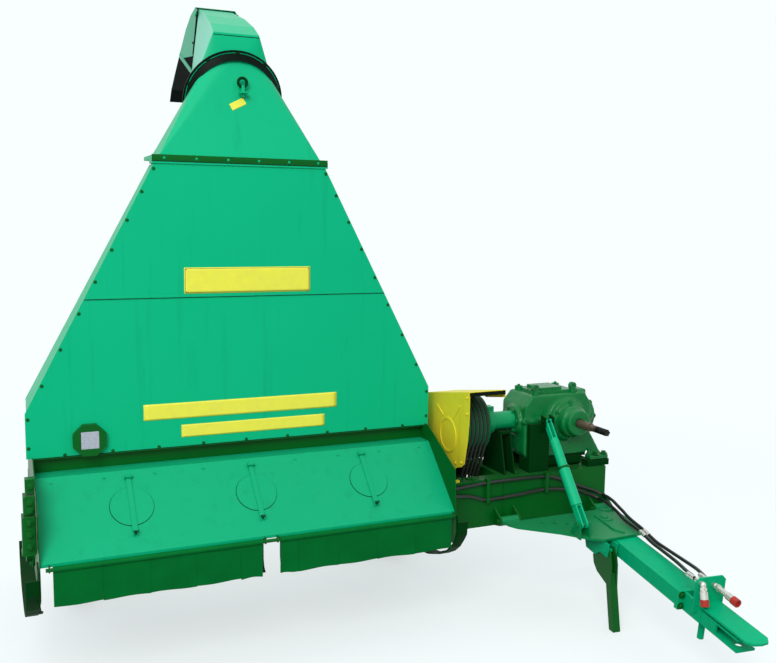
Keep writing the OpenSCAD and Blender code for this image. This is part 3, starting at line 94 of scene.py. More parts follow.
def new_material(name):
    """An empty node material and its tree and output."""
    material = bpy.data.materials.new(name)
    material.use_nodes = True
    material.node_tree.nodes.clear()
    return material, material.node_tree, add(material.node_tree, "ShaderNodeOutputMaterial")


# matt pale floor paint: seen nearly white and paler with distance, but it throws only a yard's
# grey light back up
floor_paint, tree, output = new_material("matt_floor_paint")
spot = add(tree, "ShaderNodeTexCoord").outputs["Object"]
away = add(tree, "ShaderNodeVectorMath", {0: spot}, operation="LENGTH").outputs["Value"]
fade = add(tree, "ShaderNodeMapRange", {"Value": away, "From Min": 2.2, "From Max": 7.0,
                                        "To Min": 0.62, "To Max": 1.0}, interpolation_type="SMOOTHSTEP")
lit = add(tree, "ShaderNodeBsdfDiffuse", {"Color": hex_colour("#fbffff")})
glow = add(tree, "ShaderNodeEmission", {"Color": hex_colour("#f9ffff"), "Strength": 1.0})
pale = add(tree, "ShaderNodeMixShader", {0: fade.outputs[0], 1: lit.outputs[0], 2: glow.outputs[0]})
yard = add(tree, "ShaderNodeBsdfDiffuse", {"Color": hex_colour("#868a86")})


def seen_directly(tree):
    """1 for rays that show the backdrop: the camera's, and those that metal and glass turn towards it."""
    path = add(tree, "ShaderNodeLightPath").outputs
    mirrored = add(tree, "ShaderNodeMath", {0: path["Is Camera Ray"], 1: path["Is Glossy Ray"]},
                   operation="MAXIMUM")
    return add(tree, "ShaderNodeMath", {0: mirrored.outputs[0], 1: path["Is Transmission Ray"]},
               operation="MAXIMUM").outputs[0]


chosen = add(tree, "ShaderNodeMixShader", {0: seen_directly(tree), 1: yard.outputs[0], 2: pale.outputs[0]})
tree.links.new(chosen.outputs[0], output.inputs["Surface"])

floor_mesh = bpy.data.meshes.new("floor")
FLOOR_HALF = 60.0
floor_mesh.from_pydata([(x, y, 0) for x, y in ((-FLOOR_HALF, -FLOOR_HALF), (FLOOR_HALF, -FLOOR_HALF),
                                              (FLOOR_HALF, FLOOR_HALF), (-FLOOR_HALF, FLOOR_HALF))],
                       [], [(0, 1, 2, 3)])
floor = bpy.data.objects.new("floor", floor_mesh)
floor_mesh.materials.append(floor_paint)
bpy.context.scene.collection.objects.link(floor)

world = bpy.data.worlds.new("studio")
world.use_nodes = True
bpy.context.scene.world = world
tree = world.node_tree
tree.nodes.clear()
direction = add(tree, "ShaderNodeTexCoord")
height = add(tree, "ShaderNodeSeparateXYZ", {0: direction.outputs["Generated"]})
dome = add(tree, "ShaderNodeMapRange", {"Value": height.outputs["Z"], "From Min": -0.1, "From Max": 0.8,
                                        "To Min": 0.34, "To Max": 0.96})
sky = add(tree, "ShaderNodeBackground", {"Color": hex_colour("#f2fbff"), "Strength": dome.outputs[0]})
paper = add(tree, "ShaderNodeBackground", {"Color": hex_colour("#f9ffff"), "Strength": 1.0})
chosen = add(tree, "ShaderNodeMixShader", {0: seen_directly(tree), 1: sky.outputs[0], 2: paper.outputs[0]})
output = add(tree, "ShaderNodeOutputWorld")
tree.links.new(chosen.outputs[0], output.inputs["Surface"])

lamp = bpy.data.objects.new("soft_lamp", bpy.data.lights.new("soft_lamp", "AREA"))
lamp.data.shape = "DISK"
lamp.data.size = 5.0
lamp.data.energy = 560.0
lamp.location = (-4.5, -6.5, 6.2)
lamp.rotation_euler = (Vector((0, 0, 1.2)) - lamp.location).to_track_quat("-Z", "Y").to_euler()
bpy.context.scene.collection.objects.link(lamp)

# ---- Crop housing ----
# The rotor's housing: a sloping front panel, a rounded shell behind and two wing plates, folded
# from 3 and 4 mm steel sheet, welded, and sprayed with green alkyd enamel.

MM = 0.001
SHEET = 3.0                             # thickness of the panel's sheet
LIP = 508.0                             # the panel's lower edge above the drawings' datum
panel_low, panel_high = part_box("front_panel")
# the drawings' datum: middle of the cutting width, front of the lip, height zero
DATUM = np.array([(panel_low.x + panel_high.x) / 2, panel_low.y + SHEET * MM, panel_low.z - LIP * MM])


def laid(points):
    """Places in millimetres from the drawings' datum as metres in the machine's frame."""
    return np.asarray(points, float) * MM + DATUM


def enamel(name, full, thin, rough, wave_mm, grain_mm, peel_mm=14.0, dust=0.05, dent=0.004, shine=0.12,
           glare_share=0.0):
    """Sprayed enamel: two tones of the film, waves of the sheet below, orange peel, dust and a painted glare.
    """
    material, tree, output = new_material(name)
    spot = add(tree, "ShaderNodeTexCoord").outputs["Object"]
    film = add(tree, "ShaderNodeTexNoise", {"Vector": spot, "Scale": 1 / (grain_mm * MM), "Detail": 4.0})
    tone = add(tree, "ShaderNodeMix", {"Factor": film.outputs[0], "A": hex_colour(full),
                                       "B": hex_colour(thin)}, data_type="RGBA")
    # rain streaks: noise drawn out to a length of about a metre down the sheet
    drawn = add(tree, "ShaderNodeMapping", {"Vector": spot, "Scale": (1.0, 1.0, 0.06)})
    streak = add(tree, "ShaderNodeTexNoise", {"Vector": drawn.outputs[0], "Scale": 1 / (55 * MM),
                                              "Detail": 6.0, "Roughness": 0.65})
    thinned = add(tree, "ShaderNodeMapRange", {"Value": streak.outputs[0], "From Min": 0.55,
                                               "From Max": 0.80, "To Min": 0.0, "To Max": 0.22})
    washed = add(tree, "ShaderNodeMix", {"Factor": thinned.outputs[0], "A": tone.outputs["Result"],
                                         "B": hex_colour("#004c28")}, data_type="RGBA")
    normal = add(tree, "ShaderNodeNewGeometry").outputs["Normal"]
    up = add(tree, "ShaderNodeSeparateXYZ", {0: normal}).outputs["Z"]
    speck = add(tree, "ShaderNodeTexNoise", {"Vector": spot, "Scale": 1 / (60 * MM), "Detail": 8.0,
                                             "Roughness": 0.7})
    settled = add(tree, "ShaderNodeMath", {0: up, 1: speck.outputs[0]}, operation="MULTIPLY",
                  use_clamp=True)
    share = add(tree, "ShaderNodeMath", {0: settled.outputs[0], 1: dust}, operation="MULTIPLY")
    dusty = add(tree, "ShaderNodeMix", {"Factor": share.outputs[0], "A": washed.outputs["Result"],
                                        "B": hex_colour("#b8c4ae")}, data_type="RGBA")
    # painted glare: faces turned up and towards the machine's right front are mixed towards a pale sky colour
    glare_facing = add(tree, "ShaderNodeVectorMath", {0: normal, 1: (-0.75, -0.2, 0.63)}, operation="DOT_PRODUCT")
    glare_lit = add(tree, "ShaderNodeMath", {0: glare_facing.outputs["Value"], 1: 0.0}, operation="MAXIMUM")
    glare_falloff = add(tree, "ShaderNodeMath", {0: glare_lit.outputs[0], 1: 5.0}, operation="POWER")
    chalk = add(tree, "ShaderNodeMath", {0: glare_falloff.outputs[0], 1: glare_share}, operation="MULTIPLY",
                use_clamp=True)
    dusty = add(tree, "ShaderNodeMix", {"Factor": chalk.outputs[0], "A": dusty.outputs["Result"],
                                        "B": hex_colour("#d8ffff")}, data_type="RGBA")
    gloss = add(tree, "ShaderNodeMapRange", {"Value": speck.outputs[0], "To Min": rough - 0.08,
                                             "To Max": rough + 0.12})
    waves = add(tree, "ShaderNodeTexNoise", {"Vector": spot, "Scale": 1 / (wave_mm * MM), "Detail": 1.0})
    peel = add(tree, "ShaderNodeTexNoise", {"Vector": spot, "Scale": 1 / (peel_mm * MM), "Detail": 2.0})
    bent = add(tree, "ShaderNodeBump", {"Height": waves.outputs[0], "Strength": 0.5, "Distance": dent})
    bumped = add(tree, "ShaderNodeBump", {"Height": peel.outputs[0], "Strength": 0.25,
                                          "Distance": 0.0006, "Normal": bent.outputs[0]})
    paint = add(tree, "ShaderNodeBsdfPrincipled",
                {"Base Color": dusty.outputs["Result"], "Roughness": gloss.outputs[0],
                 "Normal": bumped.outputs[0], "Specular IOR Level": shine})
    tree.links.new(paint.outputs[0], output.inputs["Surface"])
    return material


def dress(material, slot, *nodes):
    """Gives CAD nodes their material, in place of what the file brought."""
    for node in nodes:
        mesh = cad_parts[node].data
        mesh.materials.clear()
        mesh.materials.append(material)


# alkyd enamel on wide sheet: bright, glossy and faintly wavy
sheet_green = enamel("green_enamel_on_sheet", "#00b47c", "#08ba84", 0.36, 420, 700)
# the same enamel darkened as painted shade, for sections low on the machine and faces out of the light; it
# dries less glossy
shade_painted_green = enamel("green_enamel_darkened_for_shade", "#005418", "#02641e", 0.34, 260, 300)
# a still darker copy of the enamel: painted shade for parts deep in shade
deep_shade_green = enamel("green_enamel_in_shade", "#01300c", "#023c12", 0.55, 260, 300, shine=0.04)
# a darker copy of the sheet's enamel on the faces that lie open to the sky, darkened as painted shade against
# the extra light they catch
panel_green = enamel("green_enamel_darkened_on_sloping_sheet", "#00a36e", "#04a976", 0.33, 420, 700, dust=0.02)
dress(panel_green, "panel_green", "front_panel")
dress(shade_painted_green, "shade_green", "housing_shell", "side_plates")


def grid_faces(rows, cols, round_rows=False, round_cols=False):
    """Quads between neighbours of a grid numbered row by row; a round direction closes on itself."""
    r, c = np.meshgrid(np.arange(rows if round_rows else rows - 1),
                       np.arange(cols if round_cols else cols - 1), indexing="ij")
    r1, c1 = (r + 1) % rows, (c + 1) % cols
    return np.stack([r * cols + c, r * cols + c1, r1 * cols + c1, r1 * cols + c], -1).reshape(-1, 4)


def turned(profile, sides, phase=0.0):
    """A profile (r, h) carried round z: x = r cos a, y = r sin a, z = h, with both ends capped."""
    radius, rise = np.asarray(profile, float).T
    a = phase + np.arange(sides) * 2 * np.pi / sides
    rings = np.stack([np.outer(radius, np.cos(a)), np.outer(radius, np.sin(a)),
                      np.repeat(rise[:, None], sides, 1)], -1)
    last = (len(radius) - 1) * sides
    return rings.reshape(-1, 3), (grid_faces(len(radius), sides, round_cols=True).tolist()
                                  + [list(range(sides - 1, -1, -1)), list(range(last, last + sides))])


def hooped(section, sides):
    """A closed section (r, h) carried round z by the same formula, which leaves a hole in the middle."""
    radius, rise = np.asarray(section, float).T
    a = np.arange(sides) * 2 * np.pi / sides
    rings = np.stack([np.outer(radius, np.cos(a)), np.outer(radius, np.sin(a)),
                      np.repeat(rise[:, None], sides, 1)], -1)
    return rings.reshape(-1, 3), grid_faces(len(radius), sides, True, True).tolist()


def joined(shapes):
    """Several shapes as one: each shape's face numbers move up by the count of points before it."""
    starts = np.cumsum([0] + [len(points) for points, _ in shapes[:-1]])
    return (np.concatenate([points for points, _ in shapes]),
            [[i + int(start) for i in face] for start, (_, faces) in zip(starts, shapes) for face in faces])


def set_at(shape, place, axis):
    """The shape with its z axis along the axis and its origin at the place: p = x u + y v + z w + place."""
    points, faces = shape
    w = np.asarray(axis, float) / np.linalg.norm(axis)
    u = np.cross((0, 1, 0) if abs(w[1]) < 0.9 else (1, 0, 0), w)
    u /= np.linalg.norm(u)
    return points @ np.stack([u, np.cross(w, u), w]) + place, faces


def piece(name, shape, material, body, crease=40.0):
    """A mesh of a shape in millimetres from the datum, smooth below the crease angle, on its body if any."""
    points, faces = shape
    mesh = bpy.data.meshes.new(name)
    mesh.from_pydata(laid(points).tolist(), [], [list(map(int, face)) for face in faces])
    mesh.materials.append(material)
    mesh.shade_smooth()
    mesh.set_sharp_from_angle(angle=math.radians(crease))
    made = bpy.data.objects.new(name, mesh)
    bpy.context.scene.collection.objects.link(made)
    if body:
        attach(made, body)
    return made


def hex_bolt(flats):
    """A chamfered six-sided head of that width across flats on its washer: two profiles turned round z."""
    r, high = flats / 2 / math.cos(math.pi / 6), flats * 0.62
    head = turned([(r, 0), (r, high * 0.8), (r * 0.88, high)], 6)
    plate = turned([(flats * 0.92, -0.2), (flats * 0.92, flats * 0.12), (flats * 0.8, flats * 0.15)], 14)
    return joined([head, plate])


def bolt_rows(name, places, axis, flats, material, body):
    """Equal bolts at those places with their heads along the axis."""
    return piece(name, joined([set_at(hex_bolt(flats), place, axis) for place in places]), material, body,
                 30.0)


def bolt_circle(centre, radius, across, phase=0.0):
    """Six places on an upright circle: p = c + r (cos a across + sin a z), from the phase in degrees."""
    a = np.radians(np.arange(0, 360, 60) + phase)[:, None]
    return centre + radius * (np.cos(a) * across + np.sin(a) * np.array([0.0, 0.0, 1.0]))


# bolts of the rotor's bearings, painted over with the wings
ROTOR_Y, ROTOR_Z, BEARING_R = 490.0, 432.0, 74.0
WING_OUT = 954.0                        # outer face of a wing plate from the middle
for side, name in ((-1, "right"), (1, "left")):
    ring = bolt_circle((side * (WING_OUT + 4), ROTOR_Y, ROTOR_Z), BEARING_R, (0, 1, 0))
    bolt_rows("bearing_bolts_" + name, ring, (side, 0, 0), 19, shade_painted_green, "frame")

# ---- Chute ----
# A flat funnel of folded 3 mm sheet, bolted to the housing's shelf and, through an angle-iron
# frame, to the hood above. Its front and back sheets are bolted to its side sheets.

CHUTE_Y = 358.0
CHUTE_KNEE, CHUTE_TOP = 1073.0, 2168.0
CHUTE_WIDE, CHUTE_NARROW = 972.0, 401.0
SEAM_Z = 1565.0
dress(sheet_green, "panel_green", "chute_lower", "chute_upper")


def edge_x(z):
    """Half the chute's width at a height: straight up to the knee, then falling evenly to the top."""
    share = np.clip((np.asarray(z, float) - CHUTE_KNEE) / (CHUTE_TOP - CHUTE_KNEE), 0, 1)
    return CHUTE_WIDE + (CHUTE_NARROW - CHUTE_WIDE) * share


EDGE_BOLTS = (920, 1048, 1192, 1348, 1503, 1641, 1781, 1912, 2038, 2140)
EDGE_INSET, BASE_Z, FLANGE_Z = 11.0, 879.0, 2188.0
fixed = [(side * (edge_x(z) - EDGE_INSET), CHUTE_Y - 0.5, z) for side in (-1, 1) for z in EDGE_BOLTS]
fixed += [(x, CHUTE_Y - 0.5, BASE_Z) for x in np.arange(-813, 850, 205.0)]
bolt_rows("chute_front_bolts", fixed, (0, -1, 0), 8.5, shade_painted_green, "frame")
fixed = [(x, CHUTE_Y - 6.0, FLANGE_Z) for x in np.arange(-358, 380, 144.5)]
bolt_rows("flange_bolts", fixed, (0, -1, 0), 6.5, sheet_green, "frame")


def rounded_bar(x, y, z, r, steps=3):
    """A bar between ranges of x, y and z whose long edges along its longest side are rounded to r."""
    low, high = np.array([x[0], y[0], z[0]], float), np.array([x[1], y[1], z[1]], float)
    long = int(np.argmax(high - low))
    one, two = [i for i in range(3) if i != long]
    a = (np.repeat(np.arange(4), steps + 1) + np.tile(np.arange(steps + 1) / steps, 4)) * np.pi / 2
    middle, half = (low + high) / 2, (high - low) / 2
    cx = np.repeat([1, -1, -1, 1], steps + 1) * (half[one] - r) + r * np.cos(a)
    cy = np.repeat([1, 1, -1, -1], steps + 1) * (half[two] - r) + r * np.sin(a)
    rings = np.zeros((2, len(a), 3))
    rings[..., one] = middle[one] + cx
    rings[..., two] = middle[two] + cy
    rings[0, :, long], rings[1, :, long] = low[long], high[long]
    n = len(a)
    faces = grid_faces(2, n, round_cols=True).tolist() + [list(range(n - 1, -1, -1)), list(range(n, 2 * n))]
    if long == 1:
        faces = [face[::-1] for face in faces]
    return rings.reshape(-1, 3), faces


# black-green sealing strip where the two front sheets lap, black-green lines of painted shadow along the base
# and under the flange leg, and the angle frame's leg in the darker painted-shade green
sealer_and_shade = enamel("seam_sealer_and_painted_shade", "#03301a", "#053c22", 0.6, 90, 120, dust=0.0)
piece("seam_line", rounded_bar((-edge_x(SEAM_Z) + 2, edge_x(SEAM_Z) - 2), (CHUTE_Y - 3.0, CHUTE_Y + 0.5),
                               (SEAM_Z - 3, SEAM_Z + 0.5), 0.8), sealer_and_shade, "frame")
piece("flange_leg", rounded_bar((-412, 412), (CHUTE_Y - 6.4, CHUTE_Y - 3.5), (2176, 2203), 0.6), shade_painted_green,
      "frame")
piece("base_shadow_line", rounded_bar((-948, 948), (CHUTE_Y - 2.0, CHUTE_Y + 0.5), (869.5, 873.5), 0.8),
      sealer_and_shade, "frame")
piece("flange_shadow_line", rounded_bar((-412, 412), (CHUTE_Y - 6.4, CHUTE_Y - 3.5), (2171, 2176), 0.6),
      sealer_and_shade, "frame")


# ---- Blank plates on the chute ----
# Yellow vinyl film on thin aluminium, riveted or glued to the front sheet and left blank, with a
# thin dark rule printed inside its edge.

def printed_plate(name, x, z, y, tilt=0.0, rule_mm=5.0, bow=1.2, slope=0.0):
    """Blank film on a plate: colour by the plate's own UV, where a band near the edge is the rule."""
    material, tree, output = new_material(name + "_film")
    uv = add(tree, "ShaderNodeUVMap", uv_map="plate").outputs[0]
    part = add(tree, "ShaderNodeSeparateXYZ", {0: uv})
    wide, tall = x[1] - x[0], z[1] - z[0]
    nearest = []
    for socket, length in ((part.outputs["X"], wide), (part.outputs["Y"], tall)):
        centred = add(tree, "ShaderNodeMath", {0: socket, 1: 0.5}, operation="SUBTRACT").outputs[0]
        off = add(tree, "ShaderNodeMath", {0: centred}, operation="ABSOLUTE").outputs[0]
        nearest.append(add(tree, "ShaderNodeMath", {0: off, 1: -length, 2: length / 2},
                           operation="MULTIPLY_ADD").outputs[0])
    inside = add(tree, "ShaderNodeMath", {0: nearest[0], 1: nearest[1]}, operation="MINIMUM").outputs[0]
    rule = add(tree, "ShaderNodeMath", {0: inside, 1: rule_mm, 2: 1.0}, operation="COMPARE").outputs[0]
    spot = add(tree, "ShaderNodeTexCoord").outputs["Object"]
    grime = add(tree, "ShaderNodeTexNoise", {"Vector": spot, "Scale": 1 / (35 * MM), "Detail": 6.0})
    film = add(tree, "ShaderNodeMix", {"Factor": grime.outputs[0], "A": hex_colour("#f6f23c"),
                                       "B": hex_colour("#e6e04a")}, data_type="RGBA")
    printed = add(tree, "ShaderNodeMix", {"Factor": rule, "A": film.outputs["Result"],
                                          "B": hex_colour("#3c3a1a")}, data_type="RGBA")
    body = add(tree, "ShaderNodeBsdfPrincipled", {"Base Color": printed.outputs["Result"],
                                                  "Roughness": 0.35, "Coat Weight": 0.2})
    tree.links.new(body.outputs[0], output.inputs["Surface"])
    u, v = np.meshgrid(np.linspace(0, 1, 41), np.linspace(0, 1, 9))
    a = math.radians(tilt)
    cx, cz = (u - 0.5) * wide, (v - 0.5) * tall
    rise = 1.2 + bow * np.sin(7 * np.pi * u) * np.sin(np.pi * v) * 0.4
    up = cx * math.sin(a) + cz * math.cos(a)
    front = np.stack([(x[0] + x[1]) / 2 + cx * math.cos(a) - cz * math.sin(a), y - rise + up * slope,
                      (z[0] + z[1]) / 2 + up], -1)
    made = piece(name, (front.reshape(-1, 3), grid_faces(9, 41)), material, "frame")
    layer = made.data.uv_layers.new(name="plate")
    corners = np.zeros(len(made.data.loops), int)
    made.data.loops.foreach_get("vertex_index", corners)
    layer.data.foreach_set("uv", np.stack([u, v], -1).reshape(-1, 2)[corners].ravel())
    wall = made.modifiers.new("thickness", "SOLIDIFY")
    wall.thickness = 1.0 * MM
    return made


printed_plate("name_plate", (-277, 326), (1581, 1700), CHUTE_Y)
printed_plate("notice_plate", (-470, 465), (1004, 1078), CHUTE_Y, rule_mm=-9)
printed_plate("lower_plate", (-300, 402), (914, 973), CHUTE_Y, rule_mm=-9)
# a sticker set askew on the hood, whose flat front leans back by HOOD_SLOPE for each unit of height
HOOD_SLOPE = (441.0 - CHUTE_Y) / (2657.0 - 2201.0)
printed_plate("hood_sticker", (-47, 27), (2430, 2463), CHUTE_Y + HOOD_SLOPE * (2447 - 2201) - 1, tilt=27.0,
              rule_mm=-9, bow=0.3, slope=HOOD_SLOPE)
rivets = [(x, CHUTE_Y - 1.6, z) for x in (-270, 319) for z in (1588, 1693)]
dome = turned([(4.5, 0), (4.2, 1.2), (2.6, 2.2), (0.8, 2.6)], 10)
alloy = enamel("painted_rivet", "#8c8a3a", "#a8a64a", 0.4, 50, 60, dust=0.0)
piece("plate_rivets", joined([set_at(dome, place, (0, -1, 0)) for place in rivets]), alloy, "frame")

# ---- Reflector ----
# A square of moulded prismatic plastic, grey-lilac in daylight, snapped into a pressed steel
# housing that is painted with the chute.

REFLECTOR_X, REFLECTOR_Z, LENS = -706.0, 941.0, 78.0
dress(shade_painted_green, "shade_green", "reflector")
lens_plastic, tree, output = new_material("prismatic_acrylic")
spot = add(tree, "ShaderNodeTexCoord").outputs["Object"]
cell = add(tree, "ShaderNodeTexVoronoi", {"Vector": spot, "Scale": 1 / (5 * MM)})
tint = add(tree, "ShaderNodeMix", {"Factor": cell.outputs["Distance"], "A": hex_colour("#8f98a6"),
                                   "B": hex_colour("#c2c4d2")}, data_type="RGBA")
body = add(tree, "ShaderNodeBsdfPrincipled", {"Base Color": tint.outputs["Result"], "Roughness": 0.22,
                                              "Coat Weight": 0.6, "Coat Roughness": 0.05})
tree.links.new(body.outputs[0], output.inputs["Surface"])
u, v = np.meshgrid(np.linspace(-0.5, 0.5, 53), np.linspace(-0.5, 0.5, 53))
# crossed ridges 6 mm apart, sunk to nothing along the rim
prism = 0.9 * np.abs(np.sin(13 * np.pi * u) * np.sin(13 * np.pi * v)) * (np.maximum(abs(u), abs(v)) < 0.47)
lens = np.stack([REFLECTOR_X + u * LENS, CHUTE_Y - 25.5 - prism, REFLECTOR_Z + v * LENS], -1)
made = piece("reflector_lens", (lens.reshape(-1, 3), grid_faces(53, 53)), lens_plastic, "frame",
             20.0)
wall = made.modifiers.new("thickness", "SOLIDIFY")
wall.thickness = 4.0 * MM

# ---- Collar, head and visor ----
# The hood ends in a rolled collar with a flange; the head turns on it on a ring held by four clamps,
# with black-green painted shade under the flanges. Head and visor are welded from the same sheet,
# pinned where the visor tilts.

COLLAR = np.array([0.0, 520.0, 2470.0])
COLLAR_R, COLLAR_LEAN = 203.0, math.radians(67)
collar_axis = np.array([0.0, math.sin(COLLAR_LEAN), math.cos(COLLAR_LEAN)])
# the head's enamel, with painted glare on the faces turned to the light
head_green = enamel("green_enamel_with_painted_glare", "#00b47c", "#08ba84", 0.36, 420, 700, glare_share=0.5)
dress(head_green, "panel_green", "head")
# the visor has painted glare outside, and near-black painted shade on its inside faces
visor_green = enamel("enamel_with_painted_glare_and_inside_shade", "#00a872", "#06b07c", 0.4, 420, 700, glare_share=0.5)
tree = visor_green.node_tree
spot = add(tree, "ShaderNodeTexCoord").outputs["Object"]
facing = add(tree, "ShaderNodeSeparateXYZ", {0: add(tree, "ShaderNodeNewGeometry").outputs["Normal"]})
aside = add(tree, "ShaderNodeMath", {0: add(tree, "ShaderNodeSeparateXYZ", {0: spot}).outputs["X"],
                                     1: DATUM[0]}, operation="SUBTRACT")
outward = add(tree, "ShaderNodeMath", {0: aside.outputs[0], 1: facing.outputs["X"]}, operation="MULTIPLY")
cheek = add(tree, "ShaderNodeMapRange", {"Value": outward.outputs[0], "From Min": 0.0, "From Max": 0.04})
roof = add(tree, "ShaderNodeMapRange", {"Value": facing.outputs["Z"], "From Min": 0.0, "From Max": 0.2})
glare_side = add(tree, "ShaderNodeMath", {0: cheek.outputs[0], 1: roof.outputs[0]}, operation="MAXIMUM")
paint = next(node for node in tree.nodes if node.type == "BSDF_PRINCIPLED")
# painted shade: faces turned neither outward nor up get near-black instead of the paint
inside_shade_mix = add(tree, "ShaderNodeMix", {"Factor": glare_side.outputs[0], "A": hex_colour("#010c06"),
                                      "B": paint.inputs["Base Color"].links[0].from_socket},
              data_type="RGBA")
tree.links.new(inside_shade_mix.outputs["Result"], paint.inputs["Base Color"])
dress(visor_green, "panel_green", "visor")
# black-green for dirty seams, and for pieces that stand as painted shade
grease_and_shade = enamel("grease_dirt_and_painted_shade", "#010a04", "#021208", 0.45, 40, 60, peel_mm=9.0, dust=0.0, shine=0.08)
# a black-green ring under the collar's flange: painted shade of the flange's underside
lip = hooped([(COLLAR_R - 2, -26), (COLLAR_R + 10, -14), (COLLAR_R + 21.5, -4), (COLLAR_R + 22.3, 2),
              (COLLAR_R + 22.3, 7), (COLLAR_R + 2, 6)], 96)
piece("collar_shade_ring", set_at(lip, COLLAR, collar_axis), grease_and_shade, "frame")
across = np.array([1.0, 0.0, 0.0])
down = np.cross(collar_axis, across)


def round_collar(angles, radius, rise):
    """Places round the collar: centre + r (cos a x + sin a d) + h n, with n the collar's axis."""
    a = np.radians(angles)[:, None]
    return COLLAR + radius * (np.cos(a) * across - np.sin(a) * down) + rise * collar_axis


# the head's own flange runs on the collar's; the black-green rim under it is painted shade
rim = hooped([(COLLAR_R + 26, 7.4), (COLLAR_R + 34.6, 7.4), (COLLAR_R + 34.6, 15.4),
              (COLLAR_R + 26, 15.6)], 96)
piece("head_flange_shade_rim", set_at(rim, COLLAR, collar_axis), grease_and_shade, "head")
# folds and laps of the head's sheet, drawn as a dark line
HEAD_HALF, CREASE = 108.0, (455.0, 2760.0)
piece("head_fold_line", rounded_bar((-HEAD_HALF, HEAD_HALF), (CREASE[0] - 1.5, CREASE[0] + 1),
                                    (CREASE[1] - 2, CREASE[1] + 1.5), 0.8), grease_and_shade, "head")


def swept(path, radius, sides=12):
    """A circle carried along a path: p = c + r (cos a u - sin a v), with u level and v = u x ahead."""
    path = np.asarray(path, float)
    ahead = np.gradient(path, axis=0)
    ahead /= np.linalg.norm(ahead, axis=1, keepdims=True)
    level = np.cross(ahead, (0.001, 0.002, 1.0))
    level /= np.linalg.norm(level, axis=1, keepdims=True)
    rise = np.cross(level, ahead)
    a = np.arange(sides) * 2 * np.pi / sides
    r = np.broadcast_to(radius, len(path))[:, None, None]
    rings = path[:, None] + r * (np.cos(a)[:, None] * level[:, None] - np.sin(a)[:, None] * rise[:, None])
    last = (len(path) - 1) * sides
    return rings.reshape(-1, 3), (grid_faces(len(path), sides, round_cols=True).tolist()
                                  + [list(range(sides - 1, -1, -1)), list(range(last, last + sides))])


VISOR_HALF = 98.0
lap = [[818, 2933], [862, 2864], [900, 2796], [934, 2744]]
laps = [swept([(side * (VISOR_HALF + 3.5), y, z) for y, z in lap], 3.2, 8) for side in (-1, 1)]
laps += [swept([(side * (VISOR_HALF + 5), y, z) for y, z in ((884, 2782), (928, 2800))], 5.0, 8)
         for side in (-1, 1)]
piece("visor_lap_lines", joined(laps), grease_and_shade, "visor")
# lifting eye, forged, coloured with the black-green of painted shade
eye = hooped([(20 + 6.8 * math.cos(a), 6.8 * math.sin(a)) for a in np.arange(16) * np.pi / 8], 40)
piece("lifting_eye_ring", set_at(eye, (10, CHUTE_Y + 34, COLLAR[2] + 74), (0, -1, 0)), deep_shade_green, "frame")
clamp = turned([(13, -6), (13, 16), (10, 20), (6, 22)], 8)
spots = round_collar(np.arange(18, 360, 36.0), COLLAR_R + 16, 6)
piece("collar_clamps", joined([set_at(clamp, place, collar_axis) for place in spots]), deep_shade_green, "frame")

# ---- Hatches ----
# Round inspection covers of 3 mm sheet, each under a flat bar that hinges at its upper end and is
# held at its lower end by a stud with a wing nut.

PANEL_LEAN = math.atan2(278, 295)
HATCH_PITCH, HATCH_BAR = 558.0, 290.0
dress(panel_green, "panel_green", "hatch_left", "hatch_middle", "hatch_right")


def on_panel(points):
    """Places on the sloping panel, x along it, y up it and z out of it, in the drawings' axes."""
    x, y, z = np.asarray(points, float).T
    c, s = math.cos(PANEL_LEAN), math.sin(PANEL_LEAN)
    return np.stack([x, y * c - z * s, 520 + y * s + z * c], -1)


panel_axis = np.array([0.0, -math.sin(PANEL_LEAN), math.cos(PANEL_LEAN)])
HATCH_FOOT = 76.0                       # lower end of a hatch's bar, up the panel
HATCH_MID = HATCH_BAR / 2 + HATCH_FOOT
wing_steel = enamel("painted_wing_nut", "#043a1e", "#0a5a30", 0.5, 30, 40, dust=0.0)
nut = turned([(8, 0), (8, 6), (6, 10)], 8)
wing = turned([(2.5, 0), (6.5, 5), (6.0, 12), (2.0, 16)], 10)
for x, name in ((-HATCH_PITCH, "right"), (0.0, "middle"), (HATCH_PITCH, "left")):
    foot = on_panel([[x, HATCH_FOOT + 13, 12]])[0]
    ears = [set_at((wing[0] * (0.4, 1, 1), wing[1]), foot + panel_axis * 6,
                   panel_axis + side * np.array([1.3, 0, 0])) for side in (-1, 1)]
    piece("wing_nut_" + name, joined([set_at(nut, foot, panel_axis)] + ears), wing_steel, "frame")
    # rim of dirt where the cover meets the panel
    rim = hooped([(95.5, 0.2), (93.2, 3.2), (91.5, 0.2)], 72)
    piece("cover_dirt_line_" + name, set_at(rim, on_panel([[x, HATCH_MID, 2.6]])[0], panel_axis), sealer_and_shade,
          "frame")

fixed = on_panel([(x, 376.0, 3.0) for x in np.arange(-880, 900, 220.0)])
bolt_rows("panel_top_bolts", fixed, panel_axis, 9, panel_green, "frame")

# ---- Crop flaps ----
# Two curtains of painted conveyor rubber, 6 mm thick and slit into strips, threaded on a rod
# under the lip. The strips hang a little uneven and curl at their slits.

FLAP_Y, FLAP_Z, FLAP_DROP, STRIP = -12.0, 499.0, 160.0, 195.0


